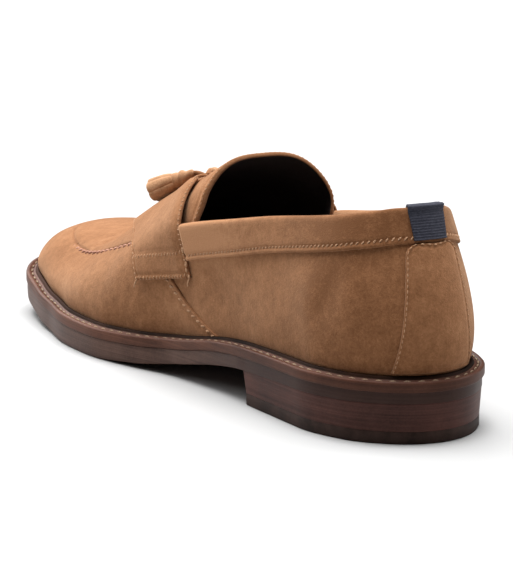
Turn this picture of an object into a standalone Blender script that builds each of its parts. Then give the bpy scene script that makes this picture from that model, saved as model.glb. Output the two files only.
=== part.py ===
"""A tassel loafer for the left foot: suede upper, welted sole and stacked heel.

Sizes and tables are in millimetres. X runs from the back of the sole to the toe, Y to the outer side
of the foot and Z up from the floor. The objects are in metres, about the middle of the sole's box.
"""

import math

import bmesh
import bpy
import numpy as np

MILLIMETRE = 0.001


def table(names, *rows):
    """A short table: each named column as an array, one row for each section."""
    return dict(zip(names.split(), np.array(rows, dtype=float).T))


# Driving sizes
SOLE_LENGTH = 304.0
COLLAR_BACK = 16.0
APRON_FRONT = 284.0
FIT_GAP = 0.3

# Sole in plan, with the welt's outer edge at centre plus and minus half_width
SOLE_PLAN = table(
    "along centre half_width",
    (0.0, 0.0, 0.0),
    (9.0, 0.0, 20.8),
    (24.0, 0.0, 31.3),
    (46.0, 0.0, 36.3),
    (76.0, 0.4, 35.9),
    (109.0, 2.2, 33.8),
    (140.0, 3.0, 35.5),
    (167.0, 2.8, 43.0),
    (191.5, 0.9, 49.9),
    (216.0, -1.8, 52.2),
    (240.0, -4.0, 49.9),
    (261.5, -4.0, 45.6),
    (280.0, -3.0, 39.5),
    (295.0, -2.6, 27.6),
    (304.0, -3.0, 0.0),
)

# Sole from the side: the outsole's lower face, and the welt's upper face
SOLE_SIDE = table(
    "along lower upper",
    (0.0, 15.2, 23.4),
    (30.0, 15.0, 23.4),
    (60.0, 14.5, 23.1),
    (86.0, 13.3, 22.3),
    (110.0, 10.6, 20.2),
    (140.0, 5.4, 15.4),
    (165.0, 1.6, 13.0),
    (192.0, 0.0, 12.3),
    (222.0, 0.0, 12.4),
    (245.0, 1.2, 13.4),
    (270.0, 4.4, 16.2),
    (290.0, 7.8, 18.8),
    (304.0, 10.2, 20.6),
)

# Top line of the wall: the collar at the back, which runs under the strap into the apron's seam
TOP_LINE = table(
    "along centre half_width height inner_drop",
    (16.0, 0.0, 0.0, 84.0, 0.0),
    (18.5, 0.0, 8.4, 83.7, 0.2),
    (25.0, 0.0, 15.4, 82.1, 0.8),
    (40.0, 0.0, 23.0, 79.0, 1.8),
    (75.0, 0.5, 28.0, 73.2, 2.2),
    (102.0, 1.2, 31.0, 67.8, 2.0),
    (142.0, 0.3, 34.6, 59.3, 1.0),
    (165.0, 0.4, 33.9, 52.0, 0.0),
    (189.0, 0.2, 32.2, 44.4, 0.0),
    (211.0, -0.5, 31.3, 37.9, 0.0),
    (226.0, -1.0, 30.5, 34.4, 0.0),
    (239.0, -1.8, 29.2, 32.2, 0.0),
    (253.0, -2.6, 27.2, 31.4, 0.0),
    (266.0, -3.0, 23.5, 32.6, 0.0),
    (276.0, -3.0, 17.0, 34.2, 0.0),
    (284.0, -3.0, 0.0, 34.8, 0.0),
)

# Middle line of vamp and tongue, and the power that squares the arch across it
CROWN = table(
    "along height power",
    (120.0, 91.0, 3.1),
    (138.0, 87.6, 3.0),
    (150.0, 81.8, 2.8),
    (162.0, 75.6, 2.5),
    (175.0, 69.2, 2.2),
    (195.0, 60.0, 2.1),
    (212.0, 50.6, 2.2),
    (231.0, 39.6, 2.4),
    (250.0, 38.0, 2.6),
    (268.0, 37.0, 2.8),
    (277.0, 35.9, 3.0),
    (284.0, 34.8, 3.0),
)

# Side wall: how late it leans in to the top line, and how far it swells
WALL_FORM = table(
    "along lean bulge",
    (0.0, 1.8, 3.4),
    (40.0, 1.9, 2.4),
    (90.0, 1.8, 1.5),
    (140.0, 2.2, 1.0),
    (180.0, 2.6, 1.2),
    (220.0, 2.4, 1.5),
    (270.0, 2.6, 1.5),
    (304.0, 2.8, 1.2),
)

# Saddle strap: its two edges at places across the foot, 0 on the middle line and 1 on the top line
STRAP_EDGES = table(
    "across rear front",
    (0.0, 174.0, 222.0),
    (0.35, 168.0, 219.0),
    (0.6, 152.0, 210.0),
    (0.82, 146.0, 195.0),
    (1.0, 140.5, 182.0),
    (1.2, 137.0, 170.0),
    (1.475, 133.0, 162.0),
)

# Upper and its overlays
UPPER_WALL = 2.2
FEATHER_INSET = 6.0
APRON_STEP = 0.8
APRON_STEP_WIDTH = 0.05
APRON_FADE = (184.0, 196.0)
THROAT_ALONG = 186.0
STRAP_THICKNESS = 1.8
STRAP_GAP = 0.65
BAND_HEIGHTS = (12.2, 14.2)
BAND_THICKNESS = 1.3
BAND_END_GAP = 1.0
BAND_RISE_POWER = 3
COUNTER_RISES = (0.045, 0.785)
COUNTER_HALF_WIDTHS = (16.0, 10.3)
COUNTER_CENTRES = (-0.8, -2.2)
COUNTER_THICKNESS = 1.2
TONGUE_WALL = 2.2
TONGUE_GAP = 0.5
TONGUE_ALONG = (136.0, 194.0)
TONGUE_HOLLOW = 6.5
TONGUE_LIFT = 2.0
TONGUE_LIFT_ALONG = (170.0, 182.0)
TONGUE_LIFT_ACROSS = (0.82, 1.0)
TONGUE_LEAN = 4.0
TONGUE_LEAN_ACROSS = (0.89, 1.0)

# Ribbon loop at the heel
TAB_CENTRE = -1.3
TAB_HALF_WIDTH = 6.4
TAB_THICKNESS = 0.8
TAB_OUTER_LIFT = 2.5
TAB_INNER_LIFT = -3.3
TAB_OUTER_RISES = (0.815, 0.87, 0.93, 0.985)
TAB_INNER_RISES = (0.97, 0.91, 0.85)
TAB_ROLL_RISE = 0.999
TAB_ROLL = ((2.2, 0.6), (-0.3, 1.4), (-3.1, 0.6))

# Sole pieces
WELT_THICKNESS = 4.0
WELT_PROFILE = table(
    "inset drop",
    (0.5, 4.0),
    (0.0, 3.5),
    (0.0, 2.0),
    (0.0, 0.5),
    (0.5, 0.0),
    (3.9, 0.0),
    (4.3, -1.0),
    (5.2, -1.1),
    (5.7, 0.0),
)
OUTSOLE_INSET = 1.0
OUTSOLE_EDGE = 1.0
INSOLE_INSET = 9.3
INSOLE_THICKNESS = 2.8

# Heel
HEEL_BREAST = 89.0
HEEL_INSET = 1.1
HEEL_TAPER = 0.8
TOP_PIECE_HEIGHT = 4.6
TOP_PIECE_EDGE = 0.6
HEEL_LIFTS = 3
LIFT_GROOVE = 0.35
LIFT_GROOVE_PART = 0.25

# Tassels and their knot, lying on the strap
TASSEL_ALONG = (186.8, 200.0)
TASSEL_LIFTS = (5.0, 5.7)
TASSEL_ACROSS = (0.10, 0.46)
TASSEL_STRIPS = 12
TASSEL_STRIP_POINTS = 3
TASSEL_FORM = table(
    "part radius groove",
    (0.0, 1.1, 0.0),
    (0.12, 1.2, 0.0),
    (0.15, 2.3, 0.0),
    (0.22, 2.9, 0.0),
    (0.32, 2.9, 0.0),
    (0.35, 2.4, 0.0),
    (0.39, 3.1, 0.1),
    (0.55, 4.2, 0.6),
    (0.80, 4.8, 0.8),
    (1.0, 5.1, 0.8),
)
KNOT_ALONG = 183.0
KNOT_RADII = (4.4, 6.0, 2.0)

# Mesh fineness
LOOP_STEPS = 88
WALL_STEPS = 8
APRON_ACROSS = (0.95, 0.8, 0.6, 0.4, 0.2, 0.0, -0.2, -0.4, -0.6, -0.8, -0.95)
STRAP_ROWS = 8
STRAP_ACROSS = (0.0, 0.2, 0.4, 0.6, 0.8, 0.95, 1.0, 1.08, 1.2, 1.34, 1.475)
BAND_STEPS = (44, 3)
COUNTER_STEPS = (8, 9)
TONGUE_ROWS = 9
TONGUE_ACROSS = (0.0, 0.2, 0.4, 0.6, 0.8, 0.95, 1.0, 1.08, 1.22)
TAB_STEPS = 6
HEEL_STEPS = 28
KNOT_STEPS = (16, 10)
BACK_REACH = 0.3
BACK_STEPS = 61
SLOPE_STEP = 1e-3
SHARP_ANGLE = math.radians(35)

# Makes the largest value of rise times the square of its rest equal to 1
SWELL_PEAK = 6.75

# Colours are linear red, green and blue
SUEDE = ("suede", (0.36, 0.19, 0.075), 0.95)
EDGE_BROWN = ("sole_edge", (0.035, 0.016, 0.010), 0.45)
WELT_BROWN = ("welt_edge", (0.075, 0.028, 0.016), 0.5)
HEEL_RUBBER = ("heel_rubber", (0.018, 0.012, 0.010), 0.6)
LINING = ("lining", (0.02, 0.02, 0.022), 0.8)
RIBBON = ("ribbon", (0.05, 0.06, 0.11), 0.8)


def smooth(knots, values, at):
    """Cubic through the rows of a table that never overshoots them."""
    span = np.diff(knots)
    grade = np.diff(values) / span
    slope = np.zeros(len(values))
    slope[0] = grade[0]
    slope[-1] = grade[-1]
    product = grade[:-1] * grade[1:]
    total = np.where(product > 0, grade[:-1] + grade[1:], 1.0)
    slope[1:-1] = np.where(product > 0, 2 * product / total, 0.0)
    at = np.clip(at, knots[0], knots[-1])
    row = np.clip(np.searchsorted(knots, at, side="right") - 1, 0, len(span) - 1)
    part = (at - knots[row]) / span[row]
    rest = 1 - part
    start = values[row] * (1 + 2 * part) * rest**2 + slope[row] * span[row] * part * rest**2
    end = values[row + 1] * (1 + 2 * rest) * part**2 - slope[row + 1] * span[row] * rest * part**2
    return start + end


def along_of(turn, first, last):
    """Place along the foot of a turn round a closed line: 0 at the back, 1 and -1 at the toe."""
    return first + (last - first) * (1 - np.cos(np.pi * turn)) / 2


def turn_of(along, first, last):
    """The turn at a place along the foot, which rounds off both ends of a closed line."""
    return np.arccos(np.clip(1 - 2 * (along - first) / (last - first), -1, 1)) / np.pi


def wrapped(turn):
    return (turn + 1) % 2 - 1


def lower_face(along):
    return smooth(SOLE_SIDE["along"], SOLE_SIDE["lower"], along)


def upper_face(along):
    return smooth(SOLE_SIDE["along"], SOLE_SIDE["upper"], along)


def closed_line(plan, column, turn):
    """A column of a plan table read round its closed line."""
    along = plan["along"]
    return smooth(turn_of(along, along[0], along[-1]), plan[column], np.abs(turn))


def outline(turn):
    """The welt's outer edge in plan; positive turns are on the outer side."""
    turn = wrapped(turn)
    along = along_of(turn, 0.0, SOLE_LENGTH)
    side = np.sign(turn) * closed_line(SOLE_PLAN, "half_width", turn)
    return np.stack([along, closed_line(SOLE_PLAN, "centre", turn) + side], axis=-1)


def plan_normal(turn):
    run = outline(turn + SLOPE_STEP) - outline(turn - SLOPE_STEP)
    out = np.stack([-run[..., 1], run[..., 0]], axis=-1)
    return out / np.linalg.norm(out, axis=-1, keepdims=True)


def inset_line(turn, inset):
    return outline(turn) - plan_normal(turn) * inset


def top_line(turn):
    """The collar and the apron's seam as one closed line."""
    turn = wrapped(turn)
    along = along_of(turn, COLLAR_BACK, APRON_FRONT)
    side = np.sign(turn) * closed_line(TOP_LINE, "half_width", turn)
    across = closed_line(TOP_LINE, "centre", turn) + side
    drop = np.where(turn < 0, closed_line(TOP_LINE, "inner_drop", turn), 0.0)
    return np.stack([along, across, closed_line(TOP_LINE, "height", turn) - drop], axis=-1)


def wall(turn, rise):
    """The upper's side: rise is 0 at the welt and 1 on the top line."""
    foot = inset_line(turn, FEATHER_INSET)
    head = top_line(turn)
    foot_height = upper_face(foot[..., 0]) + FIT_GAP
    lean = smooth(WALL_FORM["along"], WALL_FORM["lean"], foot[..., 0])
    bulge = smooth(WALL_FORM["along"], WALL_FORM["bulge"], foot[..., 0])
    inward = (np.clip(rise, 0, None) ** lean)[..., None]
    swell = (bulge * SWELL_PEAK * rise * (1 - rise) ** 2)[..., None]
    plan = foot + (head[..., :2] - foot) * inward + plan_normal(turn) * swell
    height = foot_height + (head[..., 2] - foot_height) * rise
    return np.concatenate([plan, height[..., None]], axis=-1)


def crown(turn, across):
    """The arch over the foot between the two top lines, with the apron's raised edge in front."""
    edge = top_line(np.where(across < 0, -1.0, 1.0) * np.abs(turn))
    along = edge[..., 0]
    half = closed_line(TOP_LINE, "half_width", turn)
    height = smooth(CROWN["along"], CROWN["height"], along)
    power = smooth(CROWN["along"], CROWN["power"], along)
    reach = np.abs(across)
    step = APRON_STEP * np.clip((along - APRON_FADE[0]) / (APRON_FADE[1] - APRON_FADE[0]), 0, 1)
    lift = step * np.clip((1 - reach) / APRON_STEP_WIDTH, 0, 1)
    arch = np.maximum(height - edge[..., 2] - step, 0) * (1 - reach**power)
    sideways = closed_line(TOP_LINE, "centre", turn) + half * across
    return np.stack([along, sideways, edge[..., 2] + lift + arch], axis=-1)


def section(turn, across):
    """A whole section of the upper: the arch to 1 on each side, then the wall down to 2."""
    turn, across = np.broadcast_arrays(turn, across)
    reach = np.abs(across)
    arch = crown(turn, np.clip(across, -1, 1))
    side = wall(np.where(across < 0, -1.0, 1.0) * turn, np.clip(2 - reach, 0, 1))
    return np.where((reach <= 1)[..., None], arch, side)


def unit(vectors):
    return vectors / np.linalg.norm(vectors, axis=-1, keepdims=True)


def section_skin(turn, across, lift):
    """Points at a distance outside the section's surface."""
    run = section(turn + SLOPE_STEP, across) - section(turn - SLOPE_STEP, across)
    over = section(turn, across + SLOPE_STEP) - section(turn, across - SLOPE_STEP)
    return section(turn, across) + unit(np.cross(run, over)) * lift


def wall_skin(turn, rise, lift):
    """Points at a distance outside the wall, which runs round the heel."""
    run = wall(turn + SLOPE_STEP, rise) - wall(turn - SLOPE_STEP, rise)
    climb = wall(turn, rise + SLOPE_STEP) - wall(turn, rise - SLOPE_STEP)
    return wall(turn, rise) + unit(np.cross(climb, run)) * lift


LOOP_TURNS = np.arange(LOOP_STEPS) * 2 / LOOP_STEPS - 1
WELT_EDGE = outline(LOOP_TURNS)
ORIGIN = np.array([SOLE_LENGTH / 2, (WELT_EDGE[:, 1].max() + WELT_EDGE[:, 1].min()) / 2, 0.0])


def material(name, colour, roughness):
    existing = bpy.data.materials.get(name)
    if existing:
        return existing
    made = bpy.data.materials.new(name)
    made.use_nodes = True
    shader = made.node_tree.nodes["Principled BSDF"]
    shader.inputs["Base Color"].default_value = (*colour, 1.0)
    shader.inputs["Roughness"].default_value = roughness
    return made


def add_object(name, bm, finish):
    """Put a mesh made in millimetres into the loafer's collection, in metres about its origin."""
    for vert in bm.verts:
        vert.co = [(place - zero) * MILLIMETRE for place, zero in zip(vert.co, ORIGIN)]
    bmesh.ops.recalc_face_normals(bm, faces=bm.faces)
    mesh = bpy.data.meshes.new(name)
    bm.to_mesh(mesh)
    bm.free()
    mesh.shade_smooth()
    mesh.set_sharp_from_angle(angle=SHARP_ANGLE)
    mesh.materials.append(material(*finish))
    made = bpy.data.objects.new(name, mesh)
    bpy.data.collections["tassel_loafer"].objects.link(made)
    return made


def add_verts(bm, points):
    return [bm.verts.new(point) for point in points]


def bridge(bm, first, second, closed):
    """Quads between two rows of vertices of the same length."""
    last = len(first) if closed else len(first) - 1
    for place in range(last):
        after = (place + 1) % len(first)
        bm.faces.new((first[place], first[after], second[after], second[place]))


def close_across(bm, loop, tip):
    """Cap a loop with strips between its two sides; a tip is one vertex that both sides share."""
    left = loop[1:] if tip else loop
    for place in range((len(left) - 1) // 2):
        corners = (left[place], left[place + 1], left[-2 - place], left[-1 - place])
        bm.faces.new(dict.fromkeys(corners))
    if tip:
        bm.faces.new((loop[0], loop[1], loop[-1]))


def loft(name, loops, tip, finish):
    """A closed solid through loops of points that run from one face to the other."""
    bm = bmesh.new()
    rows = [add_verts(bm, loop) for loop in loops]
    for first, second in zip(rows, rows[1:]):
        bridge(bm, first, second, closed=True)
    close_across(bm, rows[0], tip)
    close_across(bm, rows[-1], tip)
    return add_object(name, bm, finish)


def thicken(sheet, thickness, offset):
    """Solidify an open sheet; offset 1 adds outside it and -1 inside."""
    solid = sheet.modifiers.new("wall", "SOLIDIFY")
    solid.thickness = thickness * MILLIMETRE
    solid.offset = offset
    solid.use_rim = True
    return sheet


def sheet(name, grid, finish):
    """An open sheet through a grid of points, with its normals out of the shoe."""
    bm = bmesh.new()
    rows = [add_verts(bm, row) for row in grid]
    for first, second in zip(rows, rows[1:]):
        bridge(bm, first, second, closed=False)
    made = add_object(name, bm, finish)
    corner = grid[0][0]
    outward = np.cross(grid[1][0] - corner, grid[0][1] - corner)
    facing = np.array(made.data.polygons[0].normal)
    if np.dot(outward, facing) < 0:
        made.data.flip_normals()
    return made


def at_inset(inset, height):
    """The sole's outline at an inset, at a height that is a function of the place along the foot."""
    plan = inset_line(LOOP_TURNS, inset)
    return np.column_stack([plan, height(plan[:, 0])])


def build_sole():
    loops = []
    for inset, drop in zip(WELT_PROFILE["inset"], WELT_PROFILE["drop"]):
        loops.append(at_inset(inset, lambda along: upper_face(along) - drop))
    loft("welt", loops, True, WELT_BROWN)

    def below_welt(along):
        return upper_face(along) - WELT_THICKNESS - FIT_GAP

    loops = [
        at_inset(OUTSOLE_INSET + OUTSOLE_EDGE, lower_face),
        at_inset(OUTSOLE_INSET, lambda along: lower_face(along) + OUTSOLE_EDGE),
        at_inset(OUTSOLE_INSET, below_welt),
    ]
    loft("outsole", loops, True, EDGE_BROWN)

    loops = [
        at_inset(INSOLE_INSET, lambda along: upper_face(along) + FIT_GAP),
        at_inset(INSOLE_INSET, lambda along: upper_face(along) + FIT_GAP + INSOLE_THICKNESS),
    ]
    loft("insole", loops, True, LINING)


def heel_loop(inset, height):
    """The heel's outline from breast to breast, at a level or under the outsole."""
    reach = turn_of(HEEL_BREAST, 0.0, SOLE_LENGTH)
    plan = inset_line(np.linspace(-reach, reach, HEEL_STEPS), inset)
    plan[[0, -1], 0] = HEEL_BREAST - inset
    return np.column_stack([plan, height(plan[:, 0])])


def build_heel():
    def level(part):
        """A level of the stack, from the top piece at 0 to the outsole at 1."""
        def height(along):
            top = lower_face(along) - FIT_GAP
            low = TOP_PIECE_HEIGHT + FIT_GAP
            return low + (top - low) * part
        return height

    def inset_at(part):
        return HEEL_INSET + HEEL_TAPER * (1 - part)

    loops = []
    for lift in range(HEEL_LIFTS):
        low = lift / HEEL_LIFTS
        high = (lift + 1) / HEEL_LIFTS
        groove = LIFT_GROOVE_PART / HEEL_LIFTS
        if lift:
            loops.append(heel_loop(inset_at(low) + LIFT_GROOVE, level(low)))
        loops.append(heel_loop(inset_at(low), level(low + groove * bool(lift))))
        loops.append(heel_loop(inset_at(high), level(high - groove * (lift < HEEL_LIFTS - 1))))
    loft("heel_stack", loops, False, EDGE_BROWN)

    foot = HEEL_INSET + HEEL_TAPER
    loops = [
        heel_loop(foot + TOP_PIECE_EDGE, lambda along: np.zeros_like(along)),
        heel_loop(foot, lambda along: np.full_like(along, TOP_PIECE_EDGE)),
        heel_loop(foot, lambda along: np.full_like(along, TOP_PIECE_HEIGHT)),
    ]
    loft("heel_top_piece", loops, False, HEEL_RUBBER)


def build_upper():
    """The wall all round, joined in front of the throat by the raised apron, with open collar and floor."""
    bm = bmesh.new()
    rises = np.linspace(0, 1, WALL_STEPS + 1)
    rows = [add_verts(bm, wall(LOOP_TURNS, np.full(LOOP_STEPS, rise))) for rise in rises]
    for first, second in zip(rows, rows[1:]):
        bridge(bm, first, second, closed=True)
    top = rows[-1]
    throat = turn_of(THROAT_ALONG, COLLAR_BACK, APRON_FRONT)
    apron_rows = [[top[0]]]
    place = 1
    while -LOOP_TURNS[place] >= throat:
        turn = np.full(len(APRON_ACROSS), -LOOP_TURNS[place])
        arch = add_verts(bm, crown(turn, np.array(APRON_ACROSS)))
        apron_rows.append([top[-place], *arch, top[place]])
        place += 1
    tip = top[0]
    for left, right in zip(apron_rows[1], apron_rows[1][1:]):
        bm.faces.new((tip, left, right))
    for first, second in zip(apron_rows[1:], apron_rows[2:]):
        bridge(bm, first, second, closed=False)
    thicken(add_object("upper", bm, SUEDE), UPPER_WALL, -1)


def both_sides(places):
    """Places from the middle to one side, mirrored to the other."""
    return np.array([-place for place in places[:0:-1]] + list(places))


def strap_edge(column, across):
    along = smooth(STRAP_EDGES["across"], STRAP_EDGES[column], np.abs(across))
    return turn_of(along, COLLAR_BACK, APRON_FRONT)


def build_strap():
    across = both_sides(STRAP_ACROSS)
    rows = []
    for part in np.linspace(0, 1, STRAP_ROWS + 1):
        turn = strap_edge("rear", across) * (1 - part) + strap_edge("front", across) * part
        rows.append(section_skin(turn, across, STRAP_GAP))
    thicken(sheet("saddle_strap", rows, SUEDE), STRAP_THICKNESS, 1)


def build_tongue():
    """The tongue comes from under the apron, rises behind it and ends in a free edge over the instep."""
    across = both_sides(TONGUE_ACROSS)
    free_edge = TONGUE_ALONG[0] + TONGUE_HOLLOW * np.clip(1 - across**2, 0, 1)
    inside = 1 - np.interp(np.abs(across), TONGUE_LIFT_ACROSS, (0, 1))
    over = 1 - np.interp(np.abs(across), TONGUE_LEAN_ACROSS, (0, 1))
    strap = smooth(STRAP_EDGES["across"], STRAP_EDGES["rear"], np.abs(across))
    rows = []
    for part in np.linspace(0, 1, TONGUE_ROWS + 1):
        along = free_edge * (1 - part) + TONGUE_ALONG[1] * part
        turn = turn_of(along, COLLAR_BACK, APRON_FRONT)
        behind = 1 - np.interp(along, TONGUE_LIFT_ALONG, (0, 1))
        lift = TONGUE_LIFT * inside * behind - UPPER_WALL - TONGUE_GAP
        row = section_skin(turn, across, lift[:, None])
        free = np.clip((strap - along) / (strap - free_edge), 0, 1)
        row[:, 1] -= TONGUE_LEAN * over * free
        rows.append(row)
    thicken(sheet("tongue", rows, SUEDE), TONGUE_WALL, -1)


def wall_height(turn):
    return top_line(turn)[..., 2] - wall(turn, np.zeros_like(turn))[..., 2]


def build_collar_band():
    """A band along the collar, a little higher at its front ends."""
    end_gap = BAND_END_GAP / (APRON_FRONT - COLLAR_BACK)
    rows = []
    for part in np.linspace(0, 1, BAND_STEPS[1] + 1):
        across = 1 + BAND_HEIGHTS[1] * (1 - part) / wall_height(strap_edge("rear", 1.0))
        round_heel = np.linspace(-1, 1, BAND_STEPS[0] + 1)
        turn = round_heel * (strap_edge("rear", across) - end_gap)
        forward = np.abs(round_heel) ** BAND_RISE_POWER
        height = BAND_HEIGHTS[0] + (BAND_HEIGHTS[1] - BAND_HEIGHTS[0]) * forward
        rows.append(wall_skin(turn, 1 - height * (1 - part) / wall_height(turn), FIT_GAP))
    thicken(sheet("collar_band", rows, SUEDE), BAND_THICKNESS, 1)


def turn_at_width(half_width, rise):
    """The turn near the heel's back at which the wall is this far from the middle."""
    turn = np.linspace(0, BACK_REACH, BACK_STEPS)
    return np.interp(half_width, wall(turn, np.full_like(turn, rise))[:, 1], turn)


def build_heel_counter():
    rows = []
    for part in np.linspace(0, 1, COUNTER_STEPS[1] + 1):
        rise = COUNTER_RISES[0] * (1 - part) + COUNTER_RISES[1] * part
        half = COUNTER_HALF_WIDTHS[0] * (1 - part) + COUNTER_HALF_WIDTHS[1] * part
        centre = COUNTER_CENTRES[0] * (1 - part) + COUNTER_CENTRES[1] * part
        inner, outer = turn_at_width(half - centre, rise), turn_at_width(half + centre, rise)
        turn = np.linspace(-inner, outer, COUNTER_STEPS[0] + 1)
        rows.append(wall_skin(turn, np.full_like(turn, rise), FIT_GAP))
    thicken(sheet("heel_counter", rows, SUEDE), COUNTER_THICKNESS, 1)


def build_heel_tab():
    """A ribbon that comes up the back, over the collar's edge and down inside it."""
    inner = turn_at_width(TAB_HALF_WIDTH - TAB_CENTRE, 1.0)
    outer = turn_at_width(TAB_HALF_WIDTH + TAB_CENTRE, 1.0)
    turn = np.linspace(-inner, outer, TAB_STEPS + 1)
    rows = [wall_skin(turn, np.full_like(turn, rise), TAB_OUTER_LIFT) for rise in TAB_OUTER_RISES]
    for lift, above in TAB_ROLL:
        rim = wall_skin(turn, np.full_like(turn, TAB_ROLL_RISE), lift)
        rows.append(rim + np.array([0, 0, above]))
    for rise in TAB_INNER_RISES:
        rows.append(wall_skin(turn, np.full_like(turn, rise), TAB_INNER_LIFT))
    thicken(sheet("heel_tab", rows, RIBBON), TAB_THICKNESS, 0)


def on_strap(along, across, lift):
    turn = turn_of(along, COLLAR_BACK, APRON_FRONT)
    return section_skin(np.array([turn]), np.array([across]), STRAP_GAP + STRAP_THICKNESS + lift)[0]


def build_tassel(name, side):
    """A bundle of strips fused together below a bound head, on the end of a cord."""
    start = on_strap(TASSEL_ALONG[0], TASSEL_ACROSS[0] * side, TASSEL_LIFTS[0])
    end = on_strap(TASSEL_ALONG[1], TASSEL_ACROSS[1] * side, TASSEL_LIFTS[1])
    axis = unit(end - start)
    sideways = unit(np.cross(axis, np.array([0.0, 0.0, 1.0])))
    upward = np.cross(sideways, axis)
    count = TASSEL_STRIPS * TASSEL_STRIP_POINTS
    angle = np.arange(count) * 2 * math.pi / count
    notch = (np.arange(count) % TASSEL_STRIP_POINTS == 0).astype(float)
    bm = bmesh.new()
    rows = []
    for part, radius, groove in zip(*TASSEL_FORM.values()):
        reach = (radius - groove * notch)[:, None]
        around = np.cos(angle)[:, None] * sideways + np.sin(angle)[:, None] * upward
        rows.append(add_verts(bm, start + (end - start) * part + around * reach))
    for first, second in zip(rows, rows[1:]):
        bridge(bm, first, second, closed=True)
    bm.faces.new(rows[0])
    bm.faces.new(rows[-1])
    add_object(name, bm, SUEDE)


def build_knot():
    """The flat knot on the strap that both tassels hang from."""
    centre = on_strap(KNOT_ALONG, 0.0, FIT_GAP + KNOT_RADII[2])
    ahead = on_strap(KNOT_ALONG + KNOT_RADII[0], 0.0, FIT_GAP + KNOT_RADII[2])
    forward = unit(ahead - centre)
    sideways = np.array([0.0, 1.0, 0.0])
    upward = np.cross(forward, sideways)
    bm = bmesh.new()
    bmesh.ops.create_uvsphere(bm, u_segments=KNOT_STEPS[0], v_segments=KNOT_STEPS[1], radius=1.0)
    axes = (np.array([forward, sideways, upward]).T * KNOT_RADII).T
    for vert in bm.verts:
        vert.co = centre + np.array(vert.co) @ axes
    add_object("lace_knot", bm, SUEDE)


def main():
    for old in list(bpy.data.objects):
        bpy.data.objects.remove(old)
    loafer = bpy.data.collections.new("tassel_loafer")
    bpy.context.scene.collection.children.link(loafer)
    build_sole()
    build_heel()
    build_upper()
    build_tongue()
    build_strap()
    build_collar_band()
    build_heel_counter()
    build_heel_tab()
    build_tassel("tassel_lateral", 1)
    build_tassel("tassel_medial", -1)
    build_knot()


main()
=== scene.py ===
"""The looks of a tan suede tassel loafer for the left foot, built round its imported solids.

Sizes and tables are in millimetres, with X from the back of the sole to the toe, Y to the outer side of
the foot and Z up from the floor. Each piece is moved to the model's origin, in metres, as it is made.
"""

import math

import bmesh
import bpy
import numpy as np
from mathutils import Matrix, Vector
from mathutils.kdtree import KDTree


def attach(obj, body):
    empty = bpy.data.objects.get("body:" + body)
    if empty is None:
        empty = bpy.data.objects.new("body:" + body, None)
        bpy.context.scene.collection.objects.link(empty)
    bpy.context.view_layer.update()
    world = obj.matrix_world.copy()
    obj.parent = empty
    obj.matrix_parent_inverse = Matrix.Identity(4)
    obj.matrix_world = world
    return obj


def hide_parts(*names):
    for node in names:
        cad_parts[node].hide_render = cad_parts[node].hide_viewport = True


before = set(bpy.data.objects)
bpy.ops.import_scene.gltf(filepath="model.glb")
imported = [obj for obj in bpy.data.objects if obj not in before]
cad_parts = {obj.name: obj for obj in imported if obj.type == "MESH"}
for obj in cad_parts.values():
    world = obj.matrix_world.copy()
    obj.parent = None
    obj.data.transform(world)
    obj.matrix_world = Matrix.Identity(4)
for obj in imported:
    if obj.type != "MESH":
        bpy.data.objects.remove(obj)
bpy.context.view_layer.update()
MILLIMETRE = 0.001
RANDOM = np.random.default_rng(11)
UP = np.array([0.0, 0.0, 1.0])


def table(names, *rows):
    """A short table: each named column as an array, one row for each section."""
    return dict(zip(names.split(), np.array(rows, dtype=float).T))


# Driving sizes, as in the solids
SOLE_LENGTH = 304.0
COLLAR_BACK = 16.0
APRON_FRONT = 284.0
FIT_GAP = 0.3

# Sole in plan, with the welt's outer edge at centre plus and minus half_width
SOLE_PLAN = table(
    "along centre half_width",
    (0, 0, 0), (9, 0, 20.8), (24, 0, 31.3), (46, 0, 36.3), (76, 0.4, 35.9), (109, 2.2, 33.8),
    (140, 3, 35.5), (167, 2.8, 43), (191.5, 0.9, 49.9), (216, -1.8, 52.2), (240, -4, 49.9),
    (261.5, -4, 45.6), (280, -3, 39.5), (295, -2.6, 27.6), (304, -3, 0),
)

# Sole from the side: the outsole's lower face, and the welt's upper face
SOLE_SIDE = table(
    "along lower upper",
    (0, 15.2, 23.4), (30, 15, 23.4), (60, 14.5, 23.1), (86, 13.3, 22.3), (110, 10.6, 20.2),
    (140, 5.4, 15.4), (165, 1.6, 13), (192, 0, 12.3), (222, 0, 12.4), (245, 1.2, 13.4),
    (270, 4.4, 16.2), (290, 7.8, 18.8), (304, 10.2, 20.6),
)

# Top line of the wall: the collar at the back, which runs under the strap into the apron's seam
TOP_LINE = table(
    "along centre half_width height inner_drop",
    (16, 0, 0, 84, 0), (18.5, 0, 8.4, 83.7, 0.2), (25, 0, 15.4, 82.1, 0.8), (40, 0, 23, 79, 1.8),
    (75, 0.5, 28, 73.2, 2.2), (102, 1.2, 31, 67.8, 2), (142, 0.3, 34.6, 59.3, 1),
    (165, 0.4, 33.9, 52, 0), (189, 0.2, 32.2, 44.4, 0), (211, -0.5, 31.3, 37.9, 0),
    (226, -1, 30.5, 34.4, 0), (239, -1.8, 29.2, 32.2, 0), (253, -2.6, 27.2, 31.4, 0),
    (266, -3, 23.5, 32.6, 0), (276, -3, 17, 34.2, 0), (284, -3, 0, 34.8, 0),
)

# Middle line of vamp and tongue, and the power that squares the arch across it
CROWN = table(
    "along height power",
    (120, 91, 3.1), (138, 87.6, 3), (150, 81.8, 2.8), (162, 75.6, 2.5), (175, 69.2, 2.2),
    (195, 60, 2.1), (212, 50.6, 2.2), (231, 39.6, 2.4), (250, 38, 2.6), (268, 37, 2.8),
    (277, 35.9, 3), (284, 34.8, 3),
)

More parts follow.
